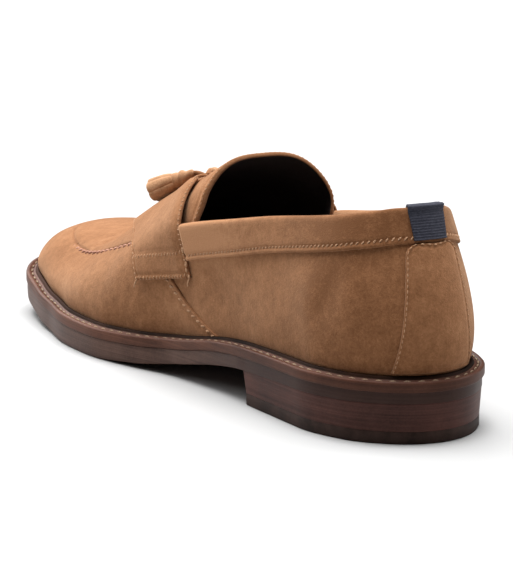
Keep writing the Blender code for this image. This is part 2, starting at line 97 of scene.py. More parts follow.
# Side wall: how late it leans in to the top line, and how far it swells
WALL_FORM = table(
    "along lean bulge",
    (0, 1.8, 3.4), (40, 1.9, 2.4), (90, 1.8, 1.5), (140, 2.2, 1), (180, 2.6, 1.2), (220, 2.4, 1.5),
    (270, 2.6, 1.5), (304, 2.8, 1.2),
)

# Saddle strap: its two edges at places across the foot, 0 on the middle line and 1 on the top line
STRAP_EDGES = table(
    "across rear front",
    (0, 174, 222), (0.35, 168, 219), (0.6, 152, 210), (0.82, 146, 195), (1, 140.5, 182),
    (1.2, 137, 170), (1.475, 133, 162),
)
STRAP_END = 1.475

# Upper and its overlays
UPPER_WALL = 2.2
SUEDE_THICKNESS = 1.2
LINING_LIFT = -1.4
LINING_THICKNESS = 0.6
FEATHER_INSET = 6.0
APRON_STEP = 0.8
APRON_STEP_WIDTH = 0.09
APRON_FADE = (184.0, 196.0)
APRON_TIP_FADE = (258.0, 279.0)
THROAT_ALONG = 186.0
STRAP_THICKNESS = 1.8
STRAP_GAP = 0.65
BAND_HEIGHTS = (12.2, 14.2)
BAND_RISE_POWER = 3
BAND_END_GAP = 0.2
COUNTER_RISES = (0.03, 0.795)
COUNTER_HALF_WIDTHS = (16.0, 10.3)
COUNTER_CENTRES = (-0.8, -2.2)
COUNTER_THICKNESS = 1.2
COUNTER_CORNER = 4.0
TONGUE_WALL = 2.0
TONGUE_GAP = 0.6
TONGUE_ALONG = (136.0, 194.0)
TONGUE_HOLLOW = 6.5
TONGUE_LIFT = 2.0
TONGUE_LIFT_ALONG = (168.0, 184.0)
TONGUE_LIFT_ACROSS = (0.78, 1.04)
TONGUE_LEAN = 2.2
TONGUE_LEAN_ACROSS = (0.86, 1.02)
TONGUE_END = 1.22

# Rough sizes of sewn pieces, across and along, which space out their points
STRAP_SIZE = (128.0, 46.0)
TONGUE_SIZE = (118.0, 60.0)
COUNTER_SIZE = (24.0, 48.0)
COUNTER_GAP = 0.1

# Outer face of the collar band: distance out of the wall, and distance up from its lower edge
BAND_EDGE = table(
    "lift up",
    (0.75, 0), (1.1, 0.12), (1.3, 0.4), (1.38, 0.8), (1.38, 1.3), (1.36, 1.8), (1.34, 2.2),
    (1.36, 2.6), (1.4, 3.1), (1.42, 4),
)

# Upper half of the band's face: distance out of the wall, and part of the band's height below the top line
BAND_FACE = ((1.42, 0.5), (1.4, 0.3), (1.34, 0.16), (1.2, 0.07))

# Roll over the top line and down inside: distance out of the wall, and height over the top line
BAND_ROLL = ((1.0, -0.4), (0.6, 0.1), (0.0, 0.38), (-0.9, 0.5), (-1.8, 0.3), (-2.5, -0.35), (-2.85, -1.4))
BAND_INSIDE = (
    (-3.0, -3.0), (-3.0, -6.0), (-2.7, -6.4), (-2.3, -6.2), (-2.25, -2.0), (-1.2, -0.7), (0.0, -0.9),
)
BAND_BACK = 0.1
BAND_BACK_DROP = 3.0
BAND_BACK_EDGE = 0.1
BAND_BACK_THIN = 0.55
BAND_THIN_REACH = (0.08, 0.35)

# Ribbon loop at the heel
TAB_CENTRE = -1.3
TAB_HALF_WIDTH = 6.4
TAB_THICKNESS = 0.8
TAB_OUTER_LIFT = 1.3
TAB_INNER_LIFT = -3.6
TAB_OUTER_RISES = (0.812, 0.87, 0.93, 0.985)
TAB_INNER_RISES = (0.97, 0.91, 0.85)
TAB_ROLL_RISE = 0.999
TAB_ROLL = ((1.8, 0.5), (-0.4, 1.3), (-3.3, 0.3))
TAB_FLARE = (0.94, 1.1)
TAB_RIB = 1.0
TAB_RIB_HEIGHT = 0.09
TAB_RIB_STEPS = 6
TAB_COLUMNS = 33

# Sole pieces
WELT_THICKNESS = 4.0
OUTSOLE_INSET = 1.0

# Sock inside the shoe: inset from the welt's edge, and height over the welt
INSOLE_PROFILE = ((8.6, 0.0), (8.4, 1.6), (8.8, 2.4), (10.0, 2.8), (14.0, 3.0), (20.0, 3.1))

# Welt from its lower outer edge over the stitched face and the raised lip to the hidden inner edge
WELT_PROFILE = table(
    "inset drop",
    (0.5, 4), (0.16, 3.9), (0.02, 3.6), (0, 3), (0, 1.4), (0.04, 0.7), (0.2, 0.25), (0.55, 0.03),
    (1.2, 0), (1.75, 0.08), (2.1, 0.4), (2.5, 0.55), (2.9, 0.5), (3.2, 0.2), (3.5, 0), (3.9, -0.05),
    (4.1, -0.55), (4.35, -0.95), (4.8, -1.15), (5.2, -1.15), (5.5, -0.85), (5.75, 0), (8.5, 0.15),
    (12, 0.2), (12, 4),
)
WELT_LIP_FROM = 3.9
# Painted light: the lip is painted paler towards the toe over this stretch, by this share.
LIP_PAINTED_LIGHT_ALONG = (205.0, 275.0)
LIP_PAINTED_LIGHT_SHARE = 0.85
WELT_STITCH_INSET = 2.5
WELT_STITCH_DROP = 0.5

# Outsole's edge, from a groove in its lower face up to the welt: inset, and part of the way up
OUTSOLE_PROFILE = table(
    "inset rise part",
    (6.6, 0, 0), (6.2, 0.45, 0), (5.8, 0.45, 0), (5.4, 0, 0), (1.9, 0, 0), (1.3, 0.1, 0),
    (0.85, 0.4, 0), (0.62, 0.9, 0), (0.5, 0, 0.3), (0.42, 0, 0.55), (0.45, 0, 0.8), (0.5, 0, 0.97),
    (0.55, 0, 1),
)
SHARP_EDGE = 0.1
SHARP_ALONG = (85.0, 92.0)
TOUCH_GAP = 0.05

# Heel
HEEL_BREAST = 89.0
HEEL_INSET = 1.1
HEEL_TAPER = 0.8
BREAST_HOLLOW = 2.4
TOP_PIECE_HEIGHT = 4.6
TOP_PIECE_PROFILE = (
    (3.6, 0.0), (3.2, 0.35), (2.8, 0.35), (2.4, 0.0), (0.7, 0.0), (0.25, 0.12), (0.0, 0.55), (0.0, 4.5),
    (0.06, TOP_PIECE_HEIGHT),
)
HEEL_EDGE = 0.06
HEEL_EDGE_PARTS = (0.012, 0.985)
HEEL_SHARP_ANGLE = 50
HEEL_GROOVES = table(
    "part depth",
    (0.10, 0.03), (0.21, 0.02), (0.31, 0.05), (0.40, 0.02), (0.49, 0.04), (0.57, 0.02),
    (0.66, 0.05), (0.77, 0.03), (0.87, 0.02),
)
HEEL_GROOVE_HALF = 0.022
# Painted shade on the outsole's and the welt's edges towards the heel: their shares, and the stretch along
# the foot over which it fades out.
HEEL_PAINTED_SHADE = 0.75
WELT_PAINTED_SHADE = 0.3
PAINTED_SHADE_ALONG = (70.0, 130.0)

# Tassels and their knot, lying on the strap
TASSEL_ALONG = (186.8, 200.0)
TASSEL_LIFTS = (4.6, 5.4)
TASSEL_ACROSS = (0.10, 0.46)
TASSEL_STRIPS = 6
TASSEL_REACH = 0.94
TASSEL_FORM = table(
    "part radius",
    (0.36, 2.6), (0.42, 3.4), (0.55, 4.3), (0.80, 4.9), (1, 5.2),
)
TASSEL_HEAD = table(
    "part radius",
    (-0.02, 0.7), (0, 1.5), (0.05, 1.75), (0.11, 1.8), (0.15, 2), (0.17, 2.6), (0.21, 3),
    (0.25, 2.9), (0.28, 2.5), (0.30, 2.75), (0.34, 3.1), (0.39, 3.2), (0.42, 2.9), (0.43, 1.8),
)
STRIP_THICKNESS = 3.0
STRIP_FILL = 0.98
STRIP_END = 0.06
STRIP_STATIONS = 18
STRIP_SIDES = 14
STRIP_TIP_STEPS = 6
STRIP_TIP_FORM = 0.96
STRIP_DEPTH = 0.9
STRIP_SHORTER = 0.04
STRIP_SWAY = 0.3
HEAD_SIDES = 40
KNOT_ALONG = 183.0
KNOT_RADII = (4.4, 6.0, 2.0)
KNOT_CORD = 1.0
KNOT_LIFT = 0.45
KNOT_CROSSING = 0.45
KNOT_STEPS = 90
KNOT_SIDES = 14

# Two turns of cord round the knot, and its ends to the tassels' necks
WRAP_RADII = (1.5, 1.0)
WRAP_RISE = 0.1
WRAP_SHIFTS = (-0.8, 0.6)
WRAP_CORD = 0.7
WRAP_STEPS = 60
END_START = 0.8
END_ARCH = 0.9
END_CORD = 1.05
END_STEPS = 16
END_SIDES = 12
NECK_PART = 0.05

# Knots of thread by the strap's rear edge: distances from that edge and up from the end, and their size
THREAD_KNOTS = table(
    "inset up length half",
    (0.9, 12, 2.4, 0.6), (0.7, 6.3, 2.2, 0.55), (1.1, 4.2, 1.8, 0.5), (0.6, 0.9, 2, 0.5),
)
THREAD_KNOT_LIFT = 0.2
THREAD_KNOT_END = 0.9
THREAD_KNOT_STEPS = 9
THREAD_KNOT_SIDES = 10

# Loose ends of thread: row of the strap's points that each starts from, and how far it slants
THREAD_ENDS = ((2, 0.07), (-3, 0.35))
THREAD_COLUMN = -3
THREAD_FALL = 3.2
THREAD_LIFT = 0.2
THREAD_ARCH = 0.7
THREAD_ARCH_PART = 0.7
THREAD_RADIUS = 0.32
THREAD_STEPS = 8

# Seam from the strap's end to the sole, where the vamp lies over the quarter
QUARTER_SEAM = table(
    "height along",
    (17, 106), (20.8, 117), (22.4, 120.9), (25.5, 128), (29.3, 135.4), (34, 142.4), (37.9, 147.2),
    (48, 157),
)
QUARTER_SEAM_RISES = (0.0, 0.62)
QUARTER_OVERLAY = 20.0
QUARTER_LIFT = 1.0
QUARTER_SINK = 0.25
QUARTER_GAP = 0.05
QUARTER_STITCH = 3.4
QUARTER_LENGTH = 40.0
QUARTER_STEP = 0.9
QUARTER_COLUMNS = (4.4, QUARTER_OVERLAY, 10)

# Search for the seam's turns: the first guess, rounds, and lengths along the foot for one turn
QUARTER_GUESS = 130.0
QUARTER_ROUNDS = 12
SEARCH_LENGTH = 400.0
TURN_LENGTH = 330.0

# Soft creases: both ends on the wall or vamp, half the width, and the depth
CREASES = table(
    "along_a height_a along_b height_b side width depth",
    (128, 46, 88, 30, 1, 9, 0.7), (110, 56, 60, 46, 1, 11, 0.5), (30, 62, 38, 40, 1, 5, 0.45),
    (128, 46, 92, 32, -1, 9, 0.7), (104, 56, 62, 44, -1, 11, 0.5), (186, 32, 204, 22, 1, 8, 0.45),
    (190, 30, 212, 22, -1, 8, 0.45),
)
VAMP_CREASES = table(
    "along bow width depth",
    (229, 9, 3.4, 0.55), (240, 7, 4.5, 0.4),
)
CREASE_FADE = 0.3
CREASE_RIDGE = 0.5
CREASE_RIDGE_PLACE = 1.9
VAMP_HALF_WIDTH = 30.0
VAMP_HEIGHTS = (33.0, 36.0)
TOE_FULLNESS = 1.3
TOE_FULL_ALONG = (238.0, 264.0)
TOE_FULL_HEIGHT = 31.0
TOE_FULL_RISE = 5.0
RIPPLE_HEIGHT = 0.16
RIPPLE_LENGTHS = (6.3, 11.0, 7.1, 17.0)

# Apron's seam: distance inside it, height and width of its two ridges and its groove
APRON_SEAM_FORM = ((3.0, 0.12, 1.6), (0.0, -0.5, 0.55), (-2.6, 0.1, 1.3))
APRON_SEAM_FADE = (170.0, 182.0)
APRON_SEAM_FROM = 168.0
APRON_STITCH_FROM = 183.0
APRON_TIP_SOFT = 0.7
GROOVE_TINT = 0.5
GROOVE_WIDTH = 0.5

# Painted shade and painted light on the suede: middle, half sizes and change of tone
PAINTED_LIGHT_AND_SHADE_PATCHES = table(
    "along height reach rise change",
    (40, 52, 32, 24, -0.11), (36, 78, 40, 9, -0.12), (92, 36, 34, 16, -0.06),
    (136, 56, 30, 9, 0.36), (176, 20, 30, 10, -0.04),
)

# Fineness of the meshes
LOOP_STEPS = 640
LINING_STEPS = 240
SOLE_STEPS = 400
APRON_STEPS = 81
WALL_RISES = ((0.0, 0.06, 5), (0.06, 0.86, 34), (0.86, 1.0, 22))
LINING_RISES = ((0.0, 1.0, 24),)
EDGE_PLACES = (0.0, 0.07, 0.22, 0.45, 0.75, 1.1, 1.6, 2.2, 2.8, 3.6)
PATCH_STEP = 1.2
EDGE_RADIUS = 0.9
EDGE_TINT = 0.4
EDGE_TINT_REACH = (0.05, 0.5)
PLAN_STEPS = 88
WELT_STITCH_POINTS = 1400
BAND_STATIONS = 420
HEEL_STEPS = 150
BREAST_STEPS = 24
SLOPE_STEP = 1e-3
SOFT_REACH = 0.11
SOFT_STEPS = 9
SOFT_MARGIN = 1.2
BACK_REACH = 0.3
BACK_STEPS = 121
SWELL_PEAK = 6.75

# Rows of stitches: spacing, length, half thickness, lean in degrees, depth, and bare length at both ends
STITCH_ROWS = {
    "apron": (5.0, 2.6, 0.6, 48.0, 0.12, 0.0, 0.0),
    "quarter": (3.2, 2.5, 0.46, 30.0, 0.12, 1.0, 1.0),
    "strap_rear": (2.0, 1.6, 0.23, 75.0, 0.12, 1.2, 1.2),
    "strap_front": (2.2, 1.6, 0.27, 0.0, 0.12, 1.2, 1.2),
    "strap_end": (2.0, 1.6, 0.23, 75.0, 0.12, 2.4, 2.4),
    "tongue": (2.0, 1.4, 0.2, 0.0, 0.2, 3.0, 3.0),
    "band": (2.3, 1.9, 0.33, 42.0, 0.12, 1.5, 1.5),
    "counter_side": (2.0, 1.4, 0.2, 0.0, 0.12, 1.0, 2.0),
    "counter_top": (2.2, 1.6, 0.27, 0.0, 0.12, 2.5, 2.5),
    "welt": (5.2, 3.3, 0.38, 0.0, 0.05, 0.0, 0.0),
}
STITCH_RINGS = 7
STITCH_SIDES = 6
STITCH_ARCH = 0.9

# Places of the rows, and how deep and how widely they draw the leather in
SEAM_DRAW = 0.4
DRAW_WIDTH = 0.6
NARROW_DRAW = 0.5
STRAP_ROW_DRAW = 0.7
QUARTER_DRAW = 1.2
SEAM_INSET = 2.0
COUNTER_INSET = 1.5
STRAP_EDGE_INSET = 1.5
STRAP_EDGE_THIN = 0.45
STRAP_THIN_REACH = 6.0
STRAP_ROWS = (2.2, 11.4)
STITCH_AHEAD = 0.4
APRON_STITCH_RISE = 0.955
SEAM_POINTS = 1200

# Camera, floor and light, in metres; each light has its direction, strength and spread in degrees
CAMERA_PLACE = (-1.3453, 0.7066, 0.3419)
CAMERA_AIM = (-0.0059, 0.0005, 0.0305)
CAMERA_LENS = 246.907
FLOOR_HALF = 9.0
FLOOR_GREY = (0.4, 0.4, 0.4)
LIGHTS = {
    "light_top": ((-0.15, 0.0, -1.0), 7.0, 50),
    "light_toe": ((-1.0, 0.1, -0.7), 1.5, 40),
    "light_outer": ((-0.85, -0.5, -0.5), 1.5, 40),
    "light_inner": ((0.1, 1.0, -0.5), 1.2, 35),
}
SURROUND = 0.08


def smooth(knots, values, at):
    """Cubic through the rows of a table that never overshoots them."""
    span = np.diff(knots)
    grade = np.diff(values) / span
    slope = np.zeros(len(values))
    slope[0] = grade[0]
    slope[-1] = grade[-1]
    product = grade[:-1] * grade[1:]
    total = np.where(product > 0, grade[:-1] + grade[1:], 1.0)
    slope[1:-1] = np.where(product > 0, 2 * product / total, 0.0)
    at = np.clip(at, knots[0], knots[-1])
    row = np.clip(np.searchsorted(knots, at, side="right") - 1, 0, len(span) - 1)
    part = (at - knots[row]) / span[row]
    rest = 1 - part
    start = values[row] * (1 + 2 * part) * rest**2 + slope[row] * span[row] * part * rest**2
    end = values[row + 1] * (1 + 2 * rest) * part**2 - slope[row + 1] * span[row] * rest * part**2
    return start + end


def ease(first, last, at):
    """Smooth step from 0 at first to 1 at last."""
    part = np.clip((at - first) / (last - first), 0, 1)
    return part * part * (3 - 2 * part)


def bump(at, width):
    return np.exp(-((at / width) ** 2))


def along_of(turn, first, last):
    """Place along the foot of a turn round a closed line: 0 at the back, 1 and -1 at the toe."""
    return first + (last - first) * (1 - np.cos(np.pi * turn)) / 2


def turn_of(along, first, last):
    """The turn at a place along the foot, which rounds off both ends of a closed line."""
    return np.arccos(np.clip(1 - 2 * (along - first) / (last - first), -1, 1)) / np.pi


def top_turn(along):
    return turn_of(along, COLLAR_BACK, APRON_FRONT)


def wrapped(turn):
    return (turn + 1) % 2 - 1


def turns_round(steps):
    """Turns evenly all round a closed line, starting at the toe."""
    return np.arange(steps) * 2 / steps - 1


def turns_over_toe(along):
    """Turns from a place on one side, round the toe to the same place on the other side."""
    return np.linspace(top_turn(along), 2 - top_turn(along), SEAM_POINTS)


def lower_face(along):
    return smooth(SOLE_SIDE["along"], SOLE_SIDE["lower"], along)


def upper_face(along):
    return smooth(SOLE_SIDE["along"], SOLE_SIDE["upper"], along)


def closed_line(plan, column, turn):
    """A column of a plan table read round its closed line."""
    along = plan["along"]
    return smooth(turn_of(along, along[0], along[-1]), plan[column], np.abs(turn))


def outline(turn):
    """The welt's outer edge in plan; positive turns are on the outer side."""
    turn = wrapped(turn)
    along = along_of(turn, 0.0, SOLE_LENGTH)
    side = np.sign(turn) * closed_line(SOLE_PLAN, "half_width", turn)
    return np.stack([along, closed_line(SOLE_PLAN, "centre", turn) + side], axis=-1)


def plan_normal(turn):
    run = outline(turn + SLOPE_STEP) - outline(turn - SLOPE_STEP)
    out = np.stack([-run[..., 1], run[..., 0]], axis=-1)
    return out / np.linalg.norm(out, axis=-1, keepdims=True)


def inset_line(turn, inset):
    return outline(turn) - plan_normal(turn) * inset


def top_line(turn):
    """The collar and the apron's seam as one closed line."""
    turn = wrapped(turn)
    along = along_of(turn, COLLAR_BACK, APRON_FRONT)
    side = np.sign(turn) * closed_line(TOP_LINE, "half_width", turn)
    across = closed_line(TOP_LINE, "centre", turn) + side
    drop = np.where(turn < 0, closed_line(TOP_LINE, "inner_drop", turn), 0.0)
    return np.stack([along, across, closed_line(TOP_LINE, "height", turn) - drop], axis=-1)


def wall(turn, rise):
    """The upper's side: rise is 0 at the welt and 1 on the top line."""
    turn, rise = np.broadcast_arrays(turn, rise)
    foot = inset_line(turn, FEATHER_INSET)
    head = top_line(turn)
    foot_height = upper_face(foot[..., 0]) + FIT_GAP
    lean = smooth(WALL_FORM["along"], WALL_FORM["lean"], foot[..., 0])
    bulge = smooth(WALL_FORM["along"], WALL_FORM["bulge"], foot[..., 0])
    inward = (np.clip(rise, 0, None) ** lean)[..., None]
    swell = (bulge * SWELL_PEAK * rise * (1 - rise) ** 2)[..., None]
    plan = foot + (head[..., :2] - foot) * inward + plan_normal(turn) * swell
    height = foot_height + (head[..., 2] - foot_height) * rise
    return np.concatenate([plan, height[..., None]], axis=-1)


def crown(turn, across):
    """The arch over the foot between the two top lines, with the apron's raised edge in front."""
    edge = top_line(np.where(across < 0, -1.0, 1.0) * np.abs(turn))
    along = edge[..., 0]
    half = closed_line(TOP_LINE, "half_width", turn)
    height = smooth(CROWN["along"], CROWN["height"], along)
    power = smooth(CROWN["along"], CROWN["power"], along)
    reach = np.abs(across)
    step = APRON_STEP * np.clip((along - APRON_FADE[0]) / (APRON_FADE[1] - APRON_FADE[0]), 0, 1)
    step = step * (1 - ease(*APRON_TIP_FADE, along))
    lift = step * np.clip((1 - reach) / APRON_STEP_WIDTH, 0, 1)
    arch = np.maximum(height - edge[..., 2] - step, 0) * (1 - reach**power)
    sideways = closed_line(TOP_LINE, "centre", turn) + half * across
    return np.stack([along, sideways, edge[..., 2] + lift + arch], axis=-1)


def section(turn, across):
    """A whole section of the upper: the arch to 1 on each side, then the wall down to 2."""
    turn, across = np.broadcast_arrays(turn, across)
    reach = np.abs(across)
    arch = crown(turn, np.clip(across, -1, 1))
    side = wall(np.where(across < 0, -1.0, 1.0) * turn, np.clip(2 - reach, 0, 1))
    return np.where((reach <= 1)[..., None], arch, side)


def soft_section(turn, across):
    """The section with the fold between arch and wall rounded, as leather bends over it."""
    shifts = np.linspace(-SOFT_REACH, SOFT_REACH, SOFT_STEPS)
    weights = SOFT_REACH * SOFT_MARGIN - np.abs(shifts)
    total = sum(section(turn, across + shift) * weight for shift, weight in zip(shifts, weights))
    return total / weights.sum()


def unit(vectors):
    return vectors / np.linalg.norm(vectors, axis=-1, keepdims=True)


def lifted(surface, turn, other, lift, flip):
    """Points at a distance outside a surface of two coordinates."""
    turn, other, lift = np.broadcast_arrays(turn, other, lift)
    run = surface(turn + SLOPE_STEP, other) - surface(turn - SLOPE_STEP, other)
    over = surface(turn, other + SLOPE_STEP) - surface(turn, other - SLOPE_STEP)
    return surface(turn, other) + unit(np.cross(run, over)) * flip * lift[..., None]


def strap_skin(turn, across, lift):
    return lifted(soft_section, turn, across, lift, 1)


def wall_skin(turn, rise, lift):
    return lifted(wall, turn, rise, lift, -1)


def wall_height(turn):
    return top_line(turn)[..., 2] - wall(turn, np.zeros_like(turn))[..., 2]


def turn_at_width(half_width, rise):
    """The turn near the heel's back at which the wall is this far from the middle."""
    turn = np.linspace(0, BACK_REACH, BACK_STEPS)
    return np.interp(half_width, wall(turn, np.full_like(turn, rise))[:, 1], turn)


WELT_EDGE = outline(turns_round(PLAN_STEPS))
ORIGIN = np.array([SOLE_LENGTH / 2, (WELT_EDGE[:, 1].max() + WELT_EDGE[:, 1].min()) / 2, 0.0])


# Materials

# Noise on each surface: features in a metre, detail and roughness
NOISE = {
    "clouds": (42.0, 4.0, 0.55),
    "brushed": (260.0, 4.0, 0.6),
    "nap": (950.0, 4.0, 0.7),
    "fibre": (2300.0, 2.0, 0.6),
    "strands": (2600.0, 2.0, 0.5),
    "layers": (90.0, 5.0, 0.62),
    "edge_wear": (60.0, 4.0, 0.6),
    "edge_grain": (1500.0, 3.0, 0.6),
    "lip_pores": (1300.0, 3.0, 0.6),
    "lip_wear": (70.0, 3.0, 0.6),
    "rubber_wear": (120.0, 5.0, 0.65),
    "rubber_grain": (1800.0, 2.0, 0.5),
    "lining_grain": (1100.0, 4.0, 0.6),
    "lining_wear": (45.0, 3.0, 0.5),
    "ribbon": (2500.0, 2.0, 0.6),
}
LAYER_STRETCH = (0.12, 0.12, 14.0)
RIBBON_STRETCH = (1.0, 0.4, 1.0)


def new_material(name, colour, roughness, **sockets):
    """A material with constant values on its shader's own sockets, and its node tree."""
    made = bpy.data.materials.new(name)
    made.use_nodes = True
    shader = made.node_tree.nodes["Principled BSDF"]
    shader.inputs["Base Color"].default_value = (*colour, 1.0)
    shader.inputs["Roughness"].default_value = roughness
    for socket, value in sockets.items():
        shader.inputs[socket.replace("_", " ")].default_value = value
    return made, made.node_tree, shader


def noise(tree, kind, stretch=None):
    """Noise of a named kind in the shoe's own coordinates."""
    scale, detail, roughness = NOISE[kind]
    place = tree.nodes.new("ShaderNodeTexCoord").outputs["Object"]
    if stretch:
        mapping = tree.nodes.new("ShaderNodeMapping")
        mapping.inputs["Scale"].default_value = stretch
        tree.links.new(place, mapping.inputs["Vector"])
        place = mapping.outputs["Vector"]
    made = tree.nodes.new("ShaderNodeTexNoise")
    made.inputs["Scale"].default_value = scale
    made.inputs["Detail"].default_value = detail
    made.inputs["Roughness"].default_value = roughness
    tree.links.new(place, made.inputs["Vector"])
    return made.outputs["Fac"]


def weighted(tree, *pairs):
    """The sum of values times their weights."""
    total = None
    for value, weight in pairs:
        part = tree.nodes.new("ShaderNodeMath")
        part.operation = "MULTIPLY_ADD"
        part.inputs[1].default_value = weight
        part.inputs[2].default_value = 0.0
        tree.links.new(value, part.inputs[0])
        if total is not None:
            tree.links.new(total, part.inputs[2])
        total = part.outputs[0]
    return total


def ramp(tree, value, *stops):
    """A colour ramp with stops of place and colour."""
    made = tree.nodes.new("ShaderNodeValToRGB")
    points = made.color_ramp.elements
    while len(points) < len(stops):
        points.new(0.5)
    for point, (place, colour) in zip(points, stops):
        point.position = place
        point.color = (*colour, 1.0)
    tree.links.new(value, made.inputs["Fac"])
    return made.outputs["Color"]


def attribute(tree, name):
    made = tree.nodes.new("ShaderNodeAttribute")
    made.attribute_name = name
    return made.outputs["Fac"]


def mix(tree, share, first, colour):
    """A plain colour over another by a share from 0 to 1."""
    made = tree.nodes.new("ShaderNodeMix")
    made.data_type = "RGBA"
    tree.links.new(share, made.inputs["Factor"])
    tree.links.new(first, made.inputs["A"])
    made.inputs["B"].default_value = (*colour, 1.0)
    return made.outputs["Result"]


def roughen(tree, shader, value, strength, depth):
    """Bump from a value, as deep as depth in millimetres."""
    made = tree.nodes.new("ShaderNodeBump")
    made.inputs["Strength"].default_value = strength
    made.inputs["Distance"].default_value = depth * MILLIMETRE
    tree.links.new(value, made.inputs["Height"])
    tree.links.new(made.outputs["Normal"], shader.inputs["Normal"])


def ranged(tree, value, low, high):
    made = tree.nodes.new("ShaderNodeMapRange")
    made.inputs["To Min"].default_value = low
    made.inputs["To Max"].default_value = high
    tree.links.new(value, made.inputs["Value"])
    return made.outputs["Result"]


SUEDE_DARK = (0.148, 0.0605, 0.025)
SUEDE_MIDDLE = (0.233, 0.1035, 0.0465)
SUEDE_LIGHT = (0.332, 0.159, 0.077)
# Tassel suede: a lighter copy of the suede, painted light on the tassels' shaded strips.
PAINTED_LIGHT_TASSEL_DARK = (0.29, 0.148, 0.076)
PAINTED_LIGHT_TASSEL_MIDDLE = (0.42, 0.232, 0.126)
PAINTED_LIGHT_TASSEL_LIGHT = (0.55, 0.317, 0.18)
CUT_EDGE = (0.125, 0.048, 0.022)


def suede_material(name, dark, middle, light):
    """Napped suede: cloudy where the nap lies different ways, fibrous close up, dark on cut edges, with
    painted shade and painted light from a point attribute.
    """
    made, tree, shader = new_material(
        name, middle, 0.95, Sheen_Weight=0.28, Sheen_Roughness=0.5,
        Sheen_Tint=(1.0, 0.68, 0.45, 1.0), Specular_IOR_Level=0.04,
    )
    clouds, brushed, nap, fibre = (noise(tree, kind) for kind in ("clouds", "brushed", "nap", "fibre"))
    # The point attribute nap holds painted shade and painted light, added to the tone.
    painted_shading = attribute(tree, "nap")
    tone = weighted(tree, (clouds, 0.24), (brushed, 0.28), (nap, 0.3), (fibre, 0.18), (painted_shading, 1.0))
    colour = ramp(tree, tone, (0.36, dark), (0.5, middle), (0.64, light))
    colour = mix(tree, attribute(tree, "edge"), colour, CUT_EDGE)
    tree.links.new(colour, shader.inputs["Base Color"])
    relief = weighted(tree, (brushed, 0.25), (nap, 0.45), (fibre, 0.3))
    roughen(tree, shader, relief, 0.7, 0.5)
    return made


def thread_material(name, dark, light):
    """Twisted thread, painted lighter on its ridges as painted light."""
    made, tree, shader = new_material(name, light, 0.8, Specular_IOR_Level=0.15)
    strands = noise(tree, "strands")
    tree.links.new(ramp(tree, strands, (0.35, dark), (0.65, light)), shader.inputs["Base Color"])
    roughen(tree, shader, strands, 0.5, 0.12)
    return made


# Colour of the painted shade on the sole and welt edges towards the heel.
EDGE_PAINTED_SHADE = (0.025, 0.0095, 0.007)


def edge_material(name, dark, light, roughness, coat):
    """A waxed leather edge with fine lines along its layers and worn, paler patches, and painted shade
    mixed in from a point attribute.
    """
    made, tree, shader = new_material(
        name, dark, roughness, Coat_Weight=coat, Coat_Roughness=0.35, Specular_IOR_Level=0.08,
    )
    layers = noise(tree, "layers", LAYER_STRETCH)
    wear = noise(tree, "edge_wear")
    grain = noise(tree, "edge_grain")
    tone = weighted(tree, (layers, 0.45), (wear, 0.35), (grain, 0.2))
    colour = ramp(tree, tone, (0.36, dark), (0.64, light))
    # Painted shade from the point attribute shade.
    tree.links.new(mix(tree, attribute(tree, "shade"), colour, EDGE_PAINTED_SHADE), shader.inputs["Base Color"])
    tree.links.new(ranged(tree, wear, roughness - 0.1, roughness + 0.12), shader.inputs["Roughness"])
    roughen(tree, shader, weighted(tree, (layers, 0.7), (grain, 0.3)), 0.35, 0.25)
    return made


# Colour of the painted light on the lip round the toe.
LIP_PAINTED_LIGHT = (0.062, 0.031, 0.022)


def lip_material():
    """The raised lip of the welt: dark leather, painted paler round the toe as painted light."""
    made, tree, shader = new_material("welt_lip", (0.014, 0.006, 0.003), 0.6, Specular_IOR_Level=0.03)
    pores = noise(tree, "lip_pores")
    wear = noise(tree, "lip_wear")
    dark, light = (0.009, 0.0038, 0.002), (0.03, 0.0125, 0.007)
    colour = ramp(tree, wear, (0.35, dark), (0.75, light))
    # Painted light from the point attribute pale.
    tree.links.new(mix(tree, attribute(tree, "pale"), colour, LIP_PAINTED_LIGHT), shader.inputs["Base Color"])
    roughen(tree, shader, pores, 0.25, 0.1)
    return made


def rubber_material():
    made, tree, shader = new_material("rubber_dark", (0.024, 0.0125, 0.0095), 0.6, Specular_IOR_Level=0.1)
    wear = noise(tree, "rubber_wear")
    grain = noise(tree, "rubber_grain")
    dark, light = (0.019, 0.0098, 0.0075), (0.052, 0.029, 0.023)
    tree.links.new(ramp(tree, wear, (0.35, dark), (0.72, light)), shader.inputs["Base Color"])
    tree.links.new(ranged(tree, wear, 0.45, 0.68), shader.inputs["Roughness"])
    roughen(tree, shader, grain, 0.3, 0.12)
    return made


def lining_material():
    """Smooth dark lining leather with fine grain."""
    made, tree, shader = new_material("lining_dark", (0.024, 0.0165, 0.015), 0.6, Specular_IOR_Level=0.35)
    grain = noise(tree, "lining_grain")
    wear = noise(tree, "lining_wear")
    dark, light = (0.014, 0.0095, 0.0085), (0.036, 0.025, 0.022)
    tone = weighted(tree, (wear, 0.6), (grain, 0.4))
    tree.links.new(ramp(tree, tone, (0.35, dark), (0.7, light)), shader.inputs["Base Color"])
    roughen(tree, shader, grain, 0.35, 0.15)
    return made


def ribbon_material():
    """Plain blue grey ribbon whose threads show close up."""
    dark, light = (0.019, 0.02, 0.03), (0.05, 0.051, 0.068)
    made, tree, shader = new_material("ribbon_blue", light, 0.8, Specular_IOR_Level=0.15)
    threads = noise(tree, "ribbon", RIBBON_STRETCH)
    tree.links.new(ramp(tree, threads, (0.3, dark), (0.7, light)), shader.inputs["Base Color"])
    roughen(tree, shader, threads, 0.4, 0.12)
    return made


SUEDE = suede_material("suede_tan", SUEDE_DARK, SUEDE_MIDDLE, SUEDE_LIGHT)
